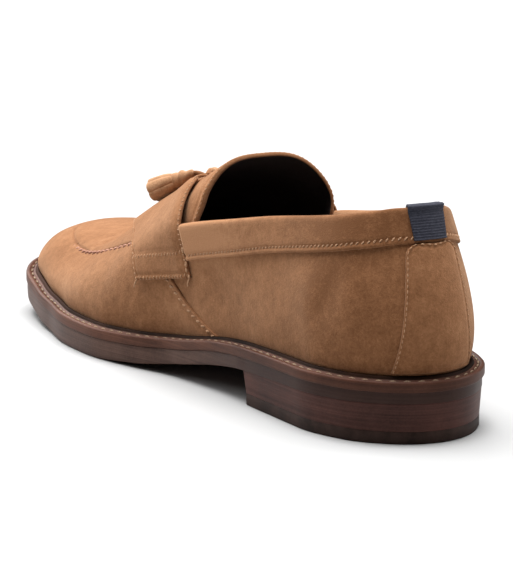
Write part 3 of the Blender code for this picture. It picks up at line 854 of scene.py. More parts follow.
# A lighter copy of the suede for the tassels, as painted light.
TASSEL_SUEDE_PAINTED_LIGHT = suede_material("suede_tassel_painted_light", PAINTED_LIGHT_TASSEL_DARK, PAINTED_LIGHT_TASSEL_MIDDLE, PAINTED_LIGHT_TASSEL_LIGHT)
SEAM_THREAD = thread_material("thread_tan", (0.28, 0.14, 0.072), (0.5, 0.31, 0.185))
APRON_THREAD = thread_material("thread_rose", (0.3, 0.14, 0.098), (0.54, 0.3, 0.22))
# The welt's pale thread, painted darker all along as painted shade for its upward faces.
WELT_THREAD_PAINTED_SHADE = thread_material("thread_pale_painted_shade", (0.145, 0.095, 0.058), (0.36, 0.265, 0.18))
SOLE_BROWN = edge_material("sole_edge_brown", (0.044, 0.0215, 0.0155), (0.134, 0.075, 0.057), 0.42, 0.06)
HEEL_BROWN = edge_material("heel_edge_brown", (0.032, 0.012, 0.009), (0.1, 0.041, 0.032), 0.46, 0.05)
WELT_BROWN = edge_material("welt_edge_brown", (0.046, 0.0175, 0.0105), (0.136, 0.057, 0.036), 0.45, 0.03)
WELT_LIP = lip_material()
HEEL_RUBBER = rubber_material()
LINING = lining_material()
RIBBON = ribbon_material()


# Meshes


def to_model(points):
    return (np.asarray(points, dtype=float) - ORIGIN) * MILLIMETRE


def grid_faces(rows, columns, closed=False, start=0):
    """Quads of a grid of points, joined end to start along its rows if closed."""
    index = np.arange(rows * columns).reshape(rows, columns) + start
    if closed:
        index = np.concatenate([index, index[:, :1]], axis=1)
    return quads_of(index)


def quads_of(index):
    """Quads between the rows and columns of a grid of point numbers."""
    quads = [index[:-1, :-1], index[:-1, 1:], index[1:, 1:], index[1:, :-1]]
    return np.stack(quads, axis=-1).reshape(-1, 4).tolist()


def tube_faces(rings, sides):
    """Faces of a closed tube: its quads, and one face over each end."""
    last = sides * (rings - 1)
    return grid_faces(rings, sides, closed=True) + [list(range(sides)), list(range(last, last + sides))]


def add_piece(name, points, faces, slot, materials, replaced=None, finish_of=None, values=None):
    """A smooth mesh piece that rides on the shoe; values are named numbers for each point."""
    mesh = bpy.data.meshes.new(name)
    mesh.from_pydata(to_model(points).tolist(), [], faces)
    for material in materials:
        mesh.materials.append(material)
    if finish_of is not None:
        mesh.polygons.foreach_set("material_index", np.asarray(finish_of, dtype=np.int32))
    for label, numbers in (values or {}).items():
        layer = mesh.attributes.new(label, "FLOAT", "POINT")
        layer.data.foreach_set("value", np.asarray(numbers, dtype=np.float32).ravel())
    bm = bmesh.new()
    bm.from_mesh(mesh)
    bmesh.ops.recalc_face_normals(bm, faces=bm.faces)
    bm.to_mesh(mesh)
    bm.free()
    mesh.shade_smooth()
    piece = bpy.data.objects.new(name, mesh)
    bpy.context.scene.collection.objects.link(piece)
    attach(piece, "root")
    if replaced:
        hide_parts(replaced)
    return piece


def joined(parts):
    """Points and faces of several small meshes as one."""
    points, faces, start = [], [], 0
    for part_points, part_faces in parts:
        points.append(part_points)
        faces.extend([[index + start for index in face] for face in part_faces])
        start += len(part_points)
    return np.concatenate(points), faces


def run_lengths(grid):
    """Length along the first direction of a grid of points, from its first row."""
    steps = np.linalg.norm(np.diff(grid[..., :3], axis=0), axis=-1)
    return np.concatenate([np.zeros((1,) + steps.shape[1:]), np.cumsum(steps, axis=0)])


def edged(length, step=PATCH_STEP):
    """Places from 0 to 1 along a piece of this length, closer together beside its two edges."""
    near = np.array(EDGE_PLACES) / length
    middle = np.linspace(near[-1], 1 - near[-1], max(2, int(length / step)))
    return np.concatenate([near[:-1], middle, (1 - near[:-1])[::-1]])


def edge_runs(grid):
    """Distance of each point of a grid from its nearer end row, and from its nearer end column."""
    down = run_lengths(grid)
    over = run_lengths(grid.swapaxes(0, 1)).swapaxes(0, 1)
    return np.minimum(down, down[-1:] - down), np.minimum(over, over[:, -1:] - over)


def add_patch(name, skin, low, thickness, replaced, draws, feather=1.0, materials=(SUEDE,)):
    """A closed suede piece with rounded edges on a surface; skin gives its grid at a lift.

    The draws are grids of how far the top is pulled in, and a feather scales the thickness.
    """
    under = skin(low)
    distance = np.minimum(*edge_runs(under))
    rounded = np.sqrt(1 - (1 - np.clip(distance / EDGE_RADIUS, 0, 1)) ** 2)
    top_lift = low + rounded * thickness * feather
    for draw in draws:
        top_lift = top_lift - draw * rounded
    top = skin(top_lift)
    rows, columns = distance.shape
    inner = np.arange((rows - 2) * (columns - 2)).reshape(rows - 2, columns - 2) + rows * columns
    index = np.arange(rows * columns).reshape(rows, columns)
    index[1:-1, 1:-1] = inner
    front_faces = grid_faces(rows, columns)
    back_faces = [[a, d, c, b] for a, b, c, d in quads_of(index)]
    points = np.concatenate([top.reshape(-1, 3), under[1:-1, 1:-1].reshape(-1, 3)])
    tint = EDGE_TINT * (1 - ease(*EDGE_TINT_REACH, distance))
    edge = np.concatenate([tint.ravel(), np.zeros(inner.size)])
    finish = [0] * len(front_faces) + [len(materials) - 1] * len(back_faces)
    faces = front_faces + back_faces
    add_piece(name, points, faces, "suede", materials, replaced, finish, {"edge": edge})
    outward = unit(skin(top_lift + 1) - top)
    return np.concatenate([top, outward], axis=-1)


def line_at(surface, axis, distance):
    """The line across a surface at a distance from its first edge, or from its last if negative."""
    grid = surface if axis == 0 else surface.swapaxes(0, 1)
    if distance < 0:
        grid = grid[::-1]
    lengths = run_lengths(grid)
    columns = []
    for column in range(grid.shape[1]):
        reads = [np.interp(abs(distance), lengths[:, column], grid[:, column, k]) for k in range(6)]
        columns.append(reads)
    return np.array(columns)


# Stitches made so far: two rows have a thread of their own, and the others share one
THREADS = {"seam": [], "apron": [], "welt": []}


def read_line(line, at, columns):
    """Points or normals of a line at lengths along it."""
    run = run_lengths(line)
    return np.stack([np.interp(at, run, line[:, k]) for k in columns], axis=-1)


def sew(row, line):
    """A named row of stitches along a line of points and normals, each an arched bit of thread."""
    spacing, length, radius, lean, sink, bare_start, bare_end = STITCH_ROWS[row]
    total = run_lengths(line)[-1] - bare_start - bare_end
    count = max(1, int(total / spacing))
    at = bare_start + (np.arange(count) + 0.5) * total / count
    centre = read_line(line, at, range(3))
    normal = unit(read_line(line, at, range(3, 6)))
    forward = read_line(line, at + STITCH_AHEAD, range(3)) - read_line(line, at - STITCH_AHEAD, range(3))
    sideways = unit(np.cross(normal, forward))
    forward = np.cross(sideways, normal)
    turned = math.radians(lean)
    ahead = forward * math.cos(turned) + sideways * math.sin(turned)
    beside = np.cross(normal, ahead)
    part = np.linspace(0, 1, STITCH_RINGS)
    arch = np.sin(np.pi * part)
    place = centre[:, None, :] + ahead[:, None, :] * ((part - 0.5) * length)[None, :, None]
    place = place + normal[:, None, :] * (arch * radius * STITCH_ARCH - sink)[None, :, None]
    thick = radius * (0.5 + 0.5 * arch)[None, :, None, None]
    angle = np.arange(STITCH_SIDES) * 2 * np.pi / STITCH_SIDES
    around = np.cos(angle)[:, None] * beside[:, None, :] + np.sin(angle)[:, None] * normal[:, None, :]
    points = place[:, :, None, :] + around[:, None, :, :] * thick
    faces = tube_faces(STITCH_RINGS, STITCH_SIDES)
    THREADS.get(row, THREADS["seam"]).extend((each.reshape(-1, 3), faces) for each in points)


def tube(centres, radius, sides, normal):
    """Points and faces of a round tube along a line of centres, with closed ends."""
    forward = unit(np.gradient(centres, axis=0))
    sideways = unit(np.cross(forward, normal))
    upward = np.cross(sideways, forward)
    angle = np.arange(sides) * 2 * np.pi / sides
    radius = np.broadcast_to(radius, len(centres))[:, None, None]
    around = np.cos(angle)[:, None] * sideways[:, None, :] + np.sin(angle)[:, None] * upward[:, None, :]
    points = centres[:, None, :] + around * radius
    return points.reshape(-1, 3), tube_faces(len(centres), sides)


def nearest(points, line):
    """Distance of each point from a line of points."""
    tree = KDTree(len(line))
    for index, place in enumerate(line):
        tree.insert(Vector(place), index)
    tree.balance()
    return np.array([tree.find(Vector(point))[2] for point in points])


# Upper


def rise_rows(stretches):
    rows = [np.linspace(first, last, count) for first, last, count in stretches]
    return np.unique(np.concatenate(rows))


def upper_grid(steps, stretches, lift):
    """Points and faces of the wall all round, joined in front of the throat by the apron."""
    turns = turns_round(steps)
    rises = rise_rows(stretches)
    points = wall_skin(turns[None, :], np.minimum(rises, 1 - SLOPE_STEP)[:, None], lift)
    faces = grid_faces(len(rises), steps, closed=True)
    points = [points.reshape(-1, 3)]
    top = np.arange(steps) + (len(rises) - 1) * steps
    across = np.sin(np.linspace(np.pi / 2, -np.pi / 2, APRON_STEPS))[1:-1]
    count = int((1 - top_turn(THROAT_ALONG)) * steps / 2)
    start = len(rises) * steps
    rows = [np.full(APRON_STEPS, top[0])]
    for place in range(1, count + 1):
        inside = np.arange(len(across)) + start
        start += len(across)
        rows.append(np.concatenate([[top[-place]], inside, [top[place]]]))
        turn = np.full(len(across), -turns[place])
        points.append(lifted(section, turn, across, lift, 1))
    rows = np.array(rows)
    tip = [[top[0], rows[1][k], rows[1][k + 1]] for k in range(APRON_STEPS - 1)]
    return np.concatenate(points), faces + tip + quads_of(rows[1:]), len(rises) * steps


def crease_relief(points):
    """Soft troughs placed on both sides and over the vamp."""
    relief = np.zeros(len(points))
    for row in zip(*CREASES.values()):
        along_a, height_a, along_b, height_b, side, width, depth = row
        start, end = np.array([along_a, height_a]), np.array([along_b, height_b])
        flat = points[:, [0, 2]]
        part = ((flat - start) @ (end - start)) / np.sum((end - start) ** 2)
        near = np.clip(part, 0, 1)
        gap = np.linalg.norm(flat - start - near[:, None] * (end - start), axis=1)
        fade = ease(-CREASE_FADE, CREASE_FADE, part) * (1 - ease(1 - CREASE_FADE, 1 + CREASE_FADE, part))
        fade = fade * (points[:, 1] * side > 0)
        relief -= depth * bump(gap, width) * fade
        relief += CREASE_RIDGE * depth * bump(gap - CREASE_RIDGE_PLACE * width, width) * fade
    for along, bow, width, depth in zip(*VAMP_CREASES.values()):
        line = along + bow * (points[:, 1] / VAMP_HALF_WIDTH) ** 2
        above = ease(*VAMP_HEIGHTS, points[:, 2])
        relief -= depth * bump(points[:, 0] - line, width) * above
    return relief


def painted_light_and_shade(points):
    """Painted shade and painted light as a change of tone, placed on both sides."""
    change = np.zeros(len(points))
    for along, height, reach, rise, amount in zip(*PAINTED_LIGHT_AND_SHADE_PATCHES.values()):
        change += amount * bump(points[:, 0] - along, reach) * bump(points[:, 2] - height, rise)
    return change


def build_upper():
    points, faces, wall_count = upper_grid(LOOP_STEPS, WALL_RISES, 0.0)
    normals = upper_grid(LOOP_STEPS, WALL_RISES, 1.0)[0] - points
    gap = nearest(points, top_line(turns_over_toe(APRON_SEAM_FROM)))
    inside = np.arange(len(points)) >= wall_count
    gap = np.where(inside, gap, -gap)
    x, y, z = points.T
    tip = ease(*APRON_TIP_FADE, x)
    normals = unit(normals + (UP - normals) * (inside * tip)[:, None])
    front = ease(*APRON_SEAM_FADE, x) * (1 - APRON_TIP_SOFT * tip)
    relief = front * sum(height * bump(gap - place, width) for place, height, width in APRON_SEAM_FORM)
    relief += crease_relief(points)
    relief += TOE_FULLNESS * ease(*TOE_FULL_ALONG, x) * bump(z - TOE_FULL_HEIGHT, TOE_FULL_RISE)
    first_x, first_y, second_z, second_x = RIPPLE_LENGTHS
    relief += RIPPLE_HEIGHT * np.sin(x / first_x + y / first_y) * np.sin(z / second_z - x / second_x)
    points = points + normals * relief[:, None]
    groove = GROOVE_TINT * front * bump(gap, GROOVE_WIDTH)
    # The nap values are painted shade and painted light.
    values = {"edge": groove, "nap": painted_light_and_shade(points)}
    piece = add_piece("upper_suede", points, faces, "suede", [SUEDE], "upper", None, values)
    shell(piece, normals, SUEDE_THICKNESS)
    points, faces, _ = upper_grid(LINING_STEPS, LINING_RISES, LINING_LIFT)
    normals = upper_grid(LINING_STEPS, LINING_RISES, LINING_LIFT + 1)[0] - points
    piece = add_piece("upper_lining", points, faces, "lining", [LINING])
    shell(piece, normals, LINING_THICKNESS)
    turns = turns_over_toe(APRON_STITCH_FROM)
    below = wall_skin(turns, APRON_STITCH_RISE, 0.0)
    outward = wall_skin(turns, APRON_STITCH_RISE, 1.0) - below
    sew("apron", np.concatenate([below, outward], axis=1))


def shell(piece, normals, thickness):
    """Give an open sheet its thickness on the inside."""
    faced = np.empty(len(piece.data.vertices) * 3)
    piece.data.vertex_normals.foreach_get("vector", faced)
    if np.median(np.sum(faced.reshape(-1, 3) * normals, axis=1)) < 0:
        piece.data.flip_normals()
    solid = piece.modifiers.new("thickness", "SOLIDIFY")
    solid.thickness = thickness * MILLIMETRE
    solid.offset = -1


def build_quarter_seam():
    """The vamp's rear edge, which lies over the quarter from the strap's end to the sole."""
    first, last = QUARTER_SEAM_RISES
    rises = first + (last - first) * edged(QUARTER_LENGTH, QUARTER_STEP)
    forward = np.concatenate([np.array(EDGE_PLACES), np.linspace(*QUARTER_COLUMNS)])
    for side, name in ((1, "vamp_edge_lateral"), (-1, "vamp_edge_medial")):
        guess = top_turn(np.full_like(rises, QUARTER_GUESS))
        for _ in range(QUARTER_ROUNDS):
            place = wall(guess * side, rises)
            wanted = smooth(QUARTER_SEAM["height"], QUARTER_SEAM["along"], place[:, 2])
            guess = guess + (wanted - place[:, 0]) / SEARCH_LENGTH
        turn = (guess[:, None] + forward[None, :] / TURN_LENGTH) * side
        rise = np.broadcast_to(rises[:, None], turn.shape)

        def skin(lift, turn=turn, rise=rise):
            return wall_skin(turn, rise, lift)

        fade = 1 - ease(QUARTER_STITCH, QUARTER_OVERLAY, forward)
        low = np.broadcast_to(-QUARTER_SINK * (1 - fade), turn.shape) - QUARTER_GAP
        draw = SEAM_DRAW * bump(forward - QUARTER_STITCH, QUARTER_DRAW)[None, :]
        top = add_patch(name, skin, low, QUARTER_LIFT, None, [draw], fade[None, :])
        sew("quarter", line_at(top, 1, QUARTER_STITCH))


def strap_edge(column, across):
    return top_turn(smooth(STRAP_EDGES["across"], STRAP_EDGES[column], np.abs(across)))


def build_strap():
    across = (edged(STRAP_SIZE[0]) * 2 - 1) * STRAP_END
    part = edged(STRAP_SIZE[1])[:, None]
    turn = strap_edge("rear", across) * (1 - part) + strap_edge("front", across) * part
    across = np.broadcast_to(across, turn.shape)

    def skin(lift):
        return strap_skin(turn, across, lift)

    base = skin(STRAP_GAP)
    edges, from_end = edge_runs(base)
    draws = [SEAM_DRAW * bump(edges - STRAP_EDGE_INSET, NARROW_DRAW)]
    draws += [SEAM_DRAW * bump(from_end - row, STRAP_ROW_DRAW) for row in STRAP_ROWS]
    thin = 1 - STRAP_EDGE_THIN * (1 - ease(0.0, STRAP_THIN_REACH, run_lengths(base)))
    top = add_patch("strap_suede", skin, STRAP_GAP * thin, STRAP_THICKNESS, "saddle_strap", draws, thin)
    sew("strap_rear", line_at(top, 0, STRAP_EDGE_INSET))
    sew("strap_front", line_at(top, 0, -STRAP_EDGE_INSET))
    for row in STRAP_ROWS:
        for distance in (row, -row):
            sew("strap_end", line_at(top, 1, distance))
    return top


def build_tongue():
    """The tongue comes up from under the strap to its free edge over the instep."""
    across = (edged(TONGUE_SIZE[0]) * 2 - 1) * TONGUE_END
    part = edged(TONGUE_SIZE[1])[:, None]
    free_edge = TONGUE_ALONG[0] + TONGUE_HOLLOW * np.clip(1 - across**2, 0, 1)
    along = free_edge * (1 - part) + TONGUE_ALONG[1] * part
    turn = top_turn(along)
    strap = smooth(STRAP_EDGES["across"], STRAP_EDGES["rear"], np.abs(across))
    free = np.clip((strap - along) / (strap - free_edge), 0, 1)
    lean = TONGUE_LEAN * (1 - ease(*TONGUE_LEAN_ACROSS, np.abs(across))) * free
    across = np.broadcast_to(across, turn.shape)
    raised = (1 - ease(*TONGUE_LIFT_ACROSS, np.abs(across))) * (1 - ease(*TONGUE_LIFT_ALONG, along))
    low = TONGUE_LIFT * raised - UPPER_WALL - TONGUE_GAP - TONGUE_WALL

    def skin(lift):
        points = strap_skin(turn, across, lift)
        points[..., 1] -= lean
        return points

    edges = run_lengths(skin(low))
    draw = SEAM_DRAW * bump(edges - SEAM_INSET, DRAW_WIDTH)
    top = add_patch("tongue_suede", skin, low, TONGUE_WALL, "tongue", [draw], materials=(SUEDE, LINING))
    sew("tongue", line_at(top, 0, SEAM_INSET))


def band_height(round_heel):
    forward = np.abs(round_heel) ** BAND_RISE_POWER
    return BAND_HEIGHTS[0] + (BAND_HEIGHTS[1] - BAND_HEIGHTS[0]) * forward


def band_turn(round_heel, drop):
    """Turn of a place round the collar, which ends at the strap's slanting rear edge."""
    across = 1 + np.clip(drop, 0, None) / wall_height(strap_edge("rear", 1.0))
    end_gap = BAND_END_GAP / (APRON_FRONT - COLLAR_BACK)
    return round_heel * (strap_edge("rear", across) - end_gap)


def build_collar_band():
    """A band along the collar that rolls over its edge and ends a little way down inside."""
    round_heel = np.linspace(-1, 1, BAND_STATIONS)
    height = band_height(round_heel)
    stations = []
    for lift, up in zip(*BAND_EDGE.values()):
        stations.append((lift - SEAM_DRAW * bump(up - SEAM_INSET, NARROW_DRAW), height - up))
    stations += [(lift, height * part) for lift, part in BAND_FACE]
    stations += [(lift, np.full_like(height, -level)) for lift, level in BAND_ROLL + BAND_INSIDE]
    for drop in (np.full_like(height, BAND_BACK_DROP), height / 2, height - BAND_BACK_EDGE):
        stations.append((BAND_BACK, drop))
    proud = 1 - BAND_BACK_THIN * (1 - ease(*BAND_THIN_REACH, np.abs(round_heel)))
    rows = []
    for lift, drop in stations:
        turn = band_turn(round_heel, drop)
        rows.append(wall_skin(turn, 1 - drop / wall_height(turn), lift * proud if lift > 0 else lift))
    points = np.array(rows).swapaxes(0, 1).reshape(-1, 3)
    faces = tube_faces(BAND_STATIONS, len(rows))
    # The nap values are painted shade and painted light.
    values = {"nap": painted_light_and_shade(points)}
    add_piece("collar_suede", points, faces, "suede", [SUEDE], "collar_band", None, values)
    drop = height - SEAM_INSET
    turn = band_turn(round_heel, drop)
    rise = 1 - drop / wall_height(turn)
    line = wall_skin(turn, rise, (BAND_EDGE["lift"][-1] - SEAM_DRAW) * proud)
    outward = wall_skin(turn, rise, 1.0) - wall_skin(turn, rise, 0.0)
    sew("band", np.concatenate([line, outward], axis=1))


def build_counter():
    """A patch up the heel's back with rounded top corners."""
    width, length = COUNTER_SIZE
    part = edged(length)[:, None]
    rise, half, centre = (
        ends[0] * (1 - part) + ends[1] * part
        for ends in (COUNTER_RISES, COUNTER_HALF_WIDTHS, COUNTER_CENTRES)
    )
    to_top = (1 - part) * length
    corner = COUNTER_CORNER - np.clip(to_top, 0, COUNTER_CORNER)
    half = half - COUNTER_CORNER + np.sqrt(COUNTER_CORNER**2 - corner**2)
    inner = np.array([turn_at_width(reach, level) for reach, level in zip(half - centre, rise)])
    outer = np.array([turn_at_width(reach, level) for reach, level in zip(half + centre, rise)])
    turn = -inner + (inner + outer) * edged(width)[None, :]
    rise = np.broadcast_to(rise, turn.shape)

    def skin(lift):
        return wall_skin(turn, rise, lift)

    distance = np.minimum(*edge_runs(skin(COUNTER_GAP)))
    draw = SEAM_DRAW * bump(distance - COUNTER_INSET, DRAW_WIDTH)
    top = add_patch("counter_suede", skin, COUNTER_GAP, COUNTER_THICKNESS, "heel_counter", [draw])
    for inset in (COUNTER_INSET, -COUNTER_INSET):
        sew("counter_side", line_at(top, 1, inset))
    sew("counter_top", line_at(top, 0, -COUNTER_INSET))


def build_heel_tab():
    """A ribbed ribbon that comes up the back, over the collar and down inside it."""
    inner = turn_at_width(TAB_HALF_WIDTH - TAB_CENTRE, 1.0)
    outer = turn_at_width(TAB_HALF_WIDTH + TAB_CENTRE, 1.0)
    turn = np.linspace(-inner, outer, TAB_COLUMNS)
    flares = np.linspace(*TAB_FLARE, len(TAB_OUTER_RISES))
    rows = [wall_skin(turn * flare, rise, TAB_OUTER_LIFT) for rise, flare in zip(TAB_OUTER_RISES, flares)]
    for lift, above in TAB_ROLL:
        rows.append(wall_skin(turn * TAB_FLARE[1], TAB_ROLL_RISE, lift) + UP * above)
    rows += [wall_skin(turn, rise, TAB_INNER_LIFT) for rise in TAB_INNER_RISES]
    rows = np.array(rows)
    run = run_lengths(rows)[:, TAB_COLUMNS // 2]
    at = np.arange(0, run[-1], TAB_RIB / TAB_RIB_STEPS)
    fine = np.empty((len(at), TAB_COLUMNS, 3))
    for column in range(TAB_COLUMNS):
        for k in range(3):
            fine[:, column, k] = smooth(run, rows[:, column, k], at)
    out = unit(np.cross(np.gradient(fine, axis=0), np.gradient(fine, axis=1)))
    if out[0, TAB_COLUMNS // 2, 0] > 0:
        out = -out
    rib = TAB_RIB_HEIGHT * np.sin(at * 2 * np.pi / TAB_RIB)[:, None, None]
    rows, columns = fine.shape[:2]
    points = np.concatenate([
        (fine + out * (TAB_THICKNESS / 2 + rib)).reshape(-1, 3),
        (fine - out * (TAB_THICKNESS / 2 - rib)).reshape(-1, 3),
    ])
    index = np.arange(rows * columns).reshape(rows, columns)
    border = np.concatenate([index[0], index[1:, -1], index[-1, -2::-1], index[-2:0:-1, 0]])
    ring = np.stack([border, border + rows * columns], axis=0)
    rim = quads_of(np.concatenate([ring, ring[:, :1]], axis=1))
    faces = grid_faces(rows, columns) + grid_faces(rows, columns, start=rows * columns) + rim
    add_piece("heel_loop_ribbon", points, faces, "ribbon", [RIBBON], "heel_tab")


# Sole and heel


def at_inset(inset, drop, turns):
    """A line inside the welt's edge, at a drop below its upper face."""
    plan = inset_line(turns, inset)
    return np.column_stack([plan, upper_face(plan[:, 0]) - drop])


def cap_faces(first, count):
    """Strips across a loop of points from its tip to its back."""
    half = count // 2
    index = np.arange(count) + first
    faces = [[index[k], index[k + 1], index[count - k - 1], index[count - k]] for k in range(1, half - 1)]
    faces += [[index[0], index[1], index[-1]], [index[half - 1], index[half], index[half + 1]]]
    return [[int(place) for place in face] for face in faces]


def add_floor(name, loops, slot, material, replaced, values=None):
    """A flat piece through a stack of loops all round the foot, closed across the first and the last."""
    rows, count = len(loops), len(loops[0])
    faces = grid_faces(rows, count, closed=True)
    faces += cap_faces(0, count) + cap_faces((rows - 1) * count, count)
    add_piece(name, np.concatenate(loops), faces, slot, [material], replaced, None, values)


def build_welt():
    turns = turns_round(SOLE_STEPS)
    loops = [at_inset(inset, drop, turns) for inset, drop in zip(*WELT_PROFILE.values())]
    count = len(loops)
    points = np.array(loops).swapaxes(0, 1).reshape(-1, 3)
    ring = np.arange(SOLE_STEPS * count).reshape(SOLE_STEPS, count)
    ring = np.concatenate([ring, ring[:1]])
    faces = quads_of(np.concatenate([ring, ring[:, :1]], axis=1))
    lip = (WELT_PROFILE["inset"] >= WELT_LIP_FROM).astype(int)
    finish = np.tile(lip, SOLE_STEPS)
    # Painted light on the lip towards the toe.
    pale = LIP_PAINTED_LIGHT_SHARE * ease(*LIP_PAINTED_LIGHT_ALONG, points[:, 0])
    # Painted shade on the welt's edge towards the heel.
    values = {"pale": pale, "shade": WELT_PAINTED_SHADE * (1 - ease(*PAINTED_SHADE_ALONG, points[:, 0]))}
    add_piece("welt_leather", points, faces, "welt_edge", [WELT_BROWN, WELT_LIP], "welt", finish, values)
    line = at_inset(WELT_STITCH_INSET, WELT_STITCH_DROP, np.linspace(-1, 1, WELT_STITCH_POINTS))
    sew("welt", np.concatenate([line, np.tile(UP, (len(line), 1))], axis=1))


def build_outsole():
    turns = turns_round(SOLE_STEPS)
    free = SHARP_EDGE + (1 - SHARP_EDGE) * ease(*SHARP_ALONG, outline(turns)[:, 0])
    loops = []
    for inset, rise, part in zip(*OUTSOLE_PROFILE.values()):
        plan = inset_line(turns, (OUTSOLE_INSET + (inset - OUTSOLE_INSET) * free)[:, None])
        low = lower_face(plan[:, 0])
        high = upper_face(plan[:, 0]) - WELT_THICKNESS - TOUCH_GAP
        loops.append(np.column_stack([plan, low + rise * free + (high - low) * part]))
    # Painted shade on the outsole's edge towards the heel.
    shade = np.tile(HEEL_PAINTED_SHADE * (1 - ease(*PAINTED_SHADE_ALONG, outline(turns)[:, 0])), len(loops))
    add_floor("outsole_leather", loops, "sole_edge", SOLE_BROWN, "outsole", {"shade": shade})


def build_insole():
    """Padded sock that fills the shoe's floor to the lining."""
    turns = turns_round(SOLE_STEPS // 2)
    loops = [at_inset(inset, -FIT_GAP - rise, turns) for inset, rise in INSOLE_PROFILE]
    add_floor("insole_sock", loops, "lining", LINING, "insole")


def heel_loop(inset, low, part_up=0.0):
    """The heel's outline from breast to breast, then back across the hollow breast.

    It is level at a low height, or a part of the way up from there to the outsole.
    """
    reach = turn_of(HEEL_BREAST, 0.0, SOLE_LENGTH)
    plan = inset_line(np.linspace(-reach, reach, HEEL_STEPS), inset)
    plan[[0, -1], 0] = HEEL_BREAST - inset
    part = np.linspace(0, 1, BREAST_STEPS + 2)[1:-1]
    hollow = BREAST_HOLLOW * (1 - (2 * part - 1) ** 2)
    breast = np.column_stack([
        HEEL_BREAST - inset - hollow,
        plan[-1, 1] + (plan[0, 1] - plan[-1, 1]) * part,
    ])
    plan = np.concatenate([plan, breast])
    top = lower_face(plan[:, 0]) - TOUCH_GAP
    return np.column_stack([plan, low + (top - low) * part_up])


def loft(name, loops, slot, material, replaced):
    """A piece through a stack of loops, with sharp corners and flat ends."""
    faces = tube_faces(len(loops), len(loops[0]))
    piece = add_piece(name, np.concatenate(loops), faces, slot, [material], replaced)
    piece.data.set_sharp_from_angle(angle=math.radians(HEEL_SHARP_ANGLE))


def build_heel():
    stops = [(0.0, HEEL_EDGE), (HEEL_EDGE_PARTS[0], 0.0)]
    for part, depth in zip(*HEEL_GROOVES.values()):
        stops += [(part - HEEL_GROOVE_HALF, 0.0), (part, depth), (part + HEEL_GROOVE_HALF, 0.0)]
    stops += [(HEEL_EDGE_PARTS[1], 0.0), (1.0, HEEL_EDGE)]
    loops = []
    for part, depth in stops:
        inset = HEEL_INSET + HEEL_TAPER * (1 - part) + depth
        loops.append(heel_loop(inset, TOP_PIECE_HEIGHT + TOUCH_GAP, part))
    loft("heel_stack_leather", loops, "sole_edge", HEEL_BROWN, "heel_stack")
    loops = [heel_loop(HEEL_INSET + HEEL_TAPER + inset, height) for inset, height in TOP_PIECE_PROFILE]
    loft("heel_top_rubber", loops, "heel_rubber", HEEL_RUBBER, "heel_top_piece")


# Tassels


def on_strap(along, across, lift):
    turn = np.array([top_turn(along)])
    return strap_skin(turn, np.array([across]), np.array([STRAP_GAP + STRAP_THICKNESS + lift]))[0]


def tassel_frame(side):
    start = on_strap(TASSEL_ALONG[0], TASSEL_ACROSS[0] * side, TASSEL_LIFTS[0])
    end = on_strap(TASSEL_ALONG[1], TASSEL_ACROSS[1] * side, TASSEL_LIFTS[1])
    axis = unit(end - start)
    sideways = unit(np.cross(axis, UP))
    return start, end, sideways, np.cross(sideways, axis)


def strip_mesh(start, end, sideways, upward, angle, reach, sway):
    """One rolled suede strip of a tassel, from under the binding to its rounded end."""
    first = TASSEL_FORM["part"][0]
    parts = np.concatenate([
        np.linspace(first, reach - STRIP_END, STRIP_STATIONS),
        reach - STRIP_END * (1 - np.sin(np.linspace(0, np.pi / 2, STRIP_TIP_STEPS)[1:])),
    ])
    radius = smooth(TASSEL_FORM["part"], TASSEL_FORM["radius"], parts)
    into_end = np.clip((parts - reach + STRIP_END) / STRIP_END, 0, 1)
    end_form = np.sqrt(1 - STRIP_TIP_FORM * into_end**2)
    half = np.pi * radius * STRIP_FILL / TASSEL_STRIPS
    deep = np.minimum(STRIP_THICKNESS, radius * STRIP_DEPTH) / 2
    turn = angle + sway * (parts - first) ** 2
    out = np.cos(turn)[:, None] * sideways + np.sin(turn)[:, None] * upward
    side = -np.sin(turn)[:, None] * sideways + np.cos(turn)[:, None] * upward
    centre = start + (end - start) * parts[:, None] + out * (radius - deep)[:, None]
    around = np.arange(STRIP_SIDES) * 2 * np.pi / STRIP_SIDES
    wide = np.cos(around)[None, :] * (half * end_form)[:, None]
    high = np.sin(around)[None, :] * (deep * end_form)[:, None]
    points = centre[:, None, :] + side[:, None, :] * wide[..., None] + out[:, None, :] * high[..., None]
    return points.reshape(-1, 3), tube_faces(len(parts), STRIP_SIDES)


def build_tassel(name, side, replaced):
    start, end, sideways, upward = tassel_frame(side)
    meshes = []
    for strip in range(TASSEL_STRIPS):
        angle = (strip + 0.5) * 2 * np.pi / TASSEL_STRIPS
        reach = TASSEL_REACH - STRIP_SHORTER * RANDOM.random()
        sway = STRIP_SWAY * (RANDOM.random() - 0.5)
        meshes.append(strip_mesh(start, end, sideways, upward, angle, reach, sway))
    head = np.array([start + (end - start) * part for part in TASSEL_HEAD["part"]])
    meshes.append(tube(head, TASSEL_HEAD["radius"], HEAD_SIDES, upward))
    add_piece(name, *joined(meshes), "suede", [TASSEL_SUEDE_PAINTED_LIGHT], replaced)


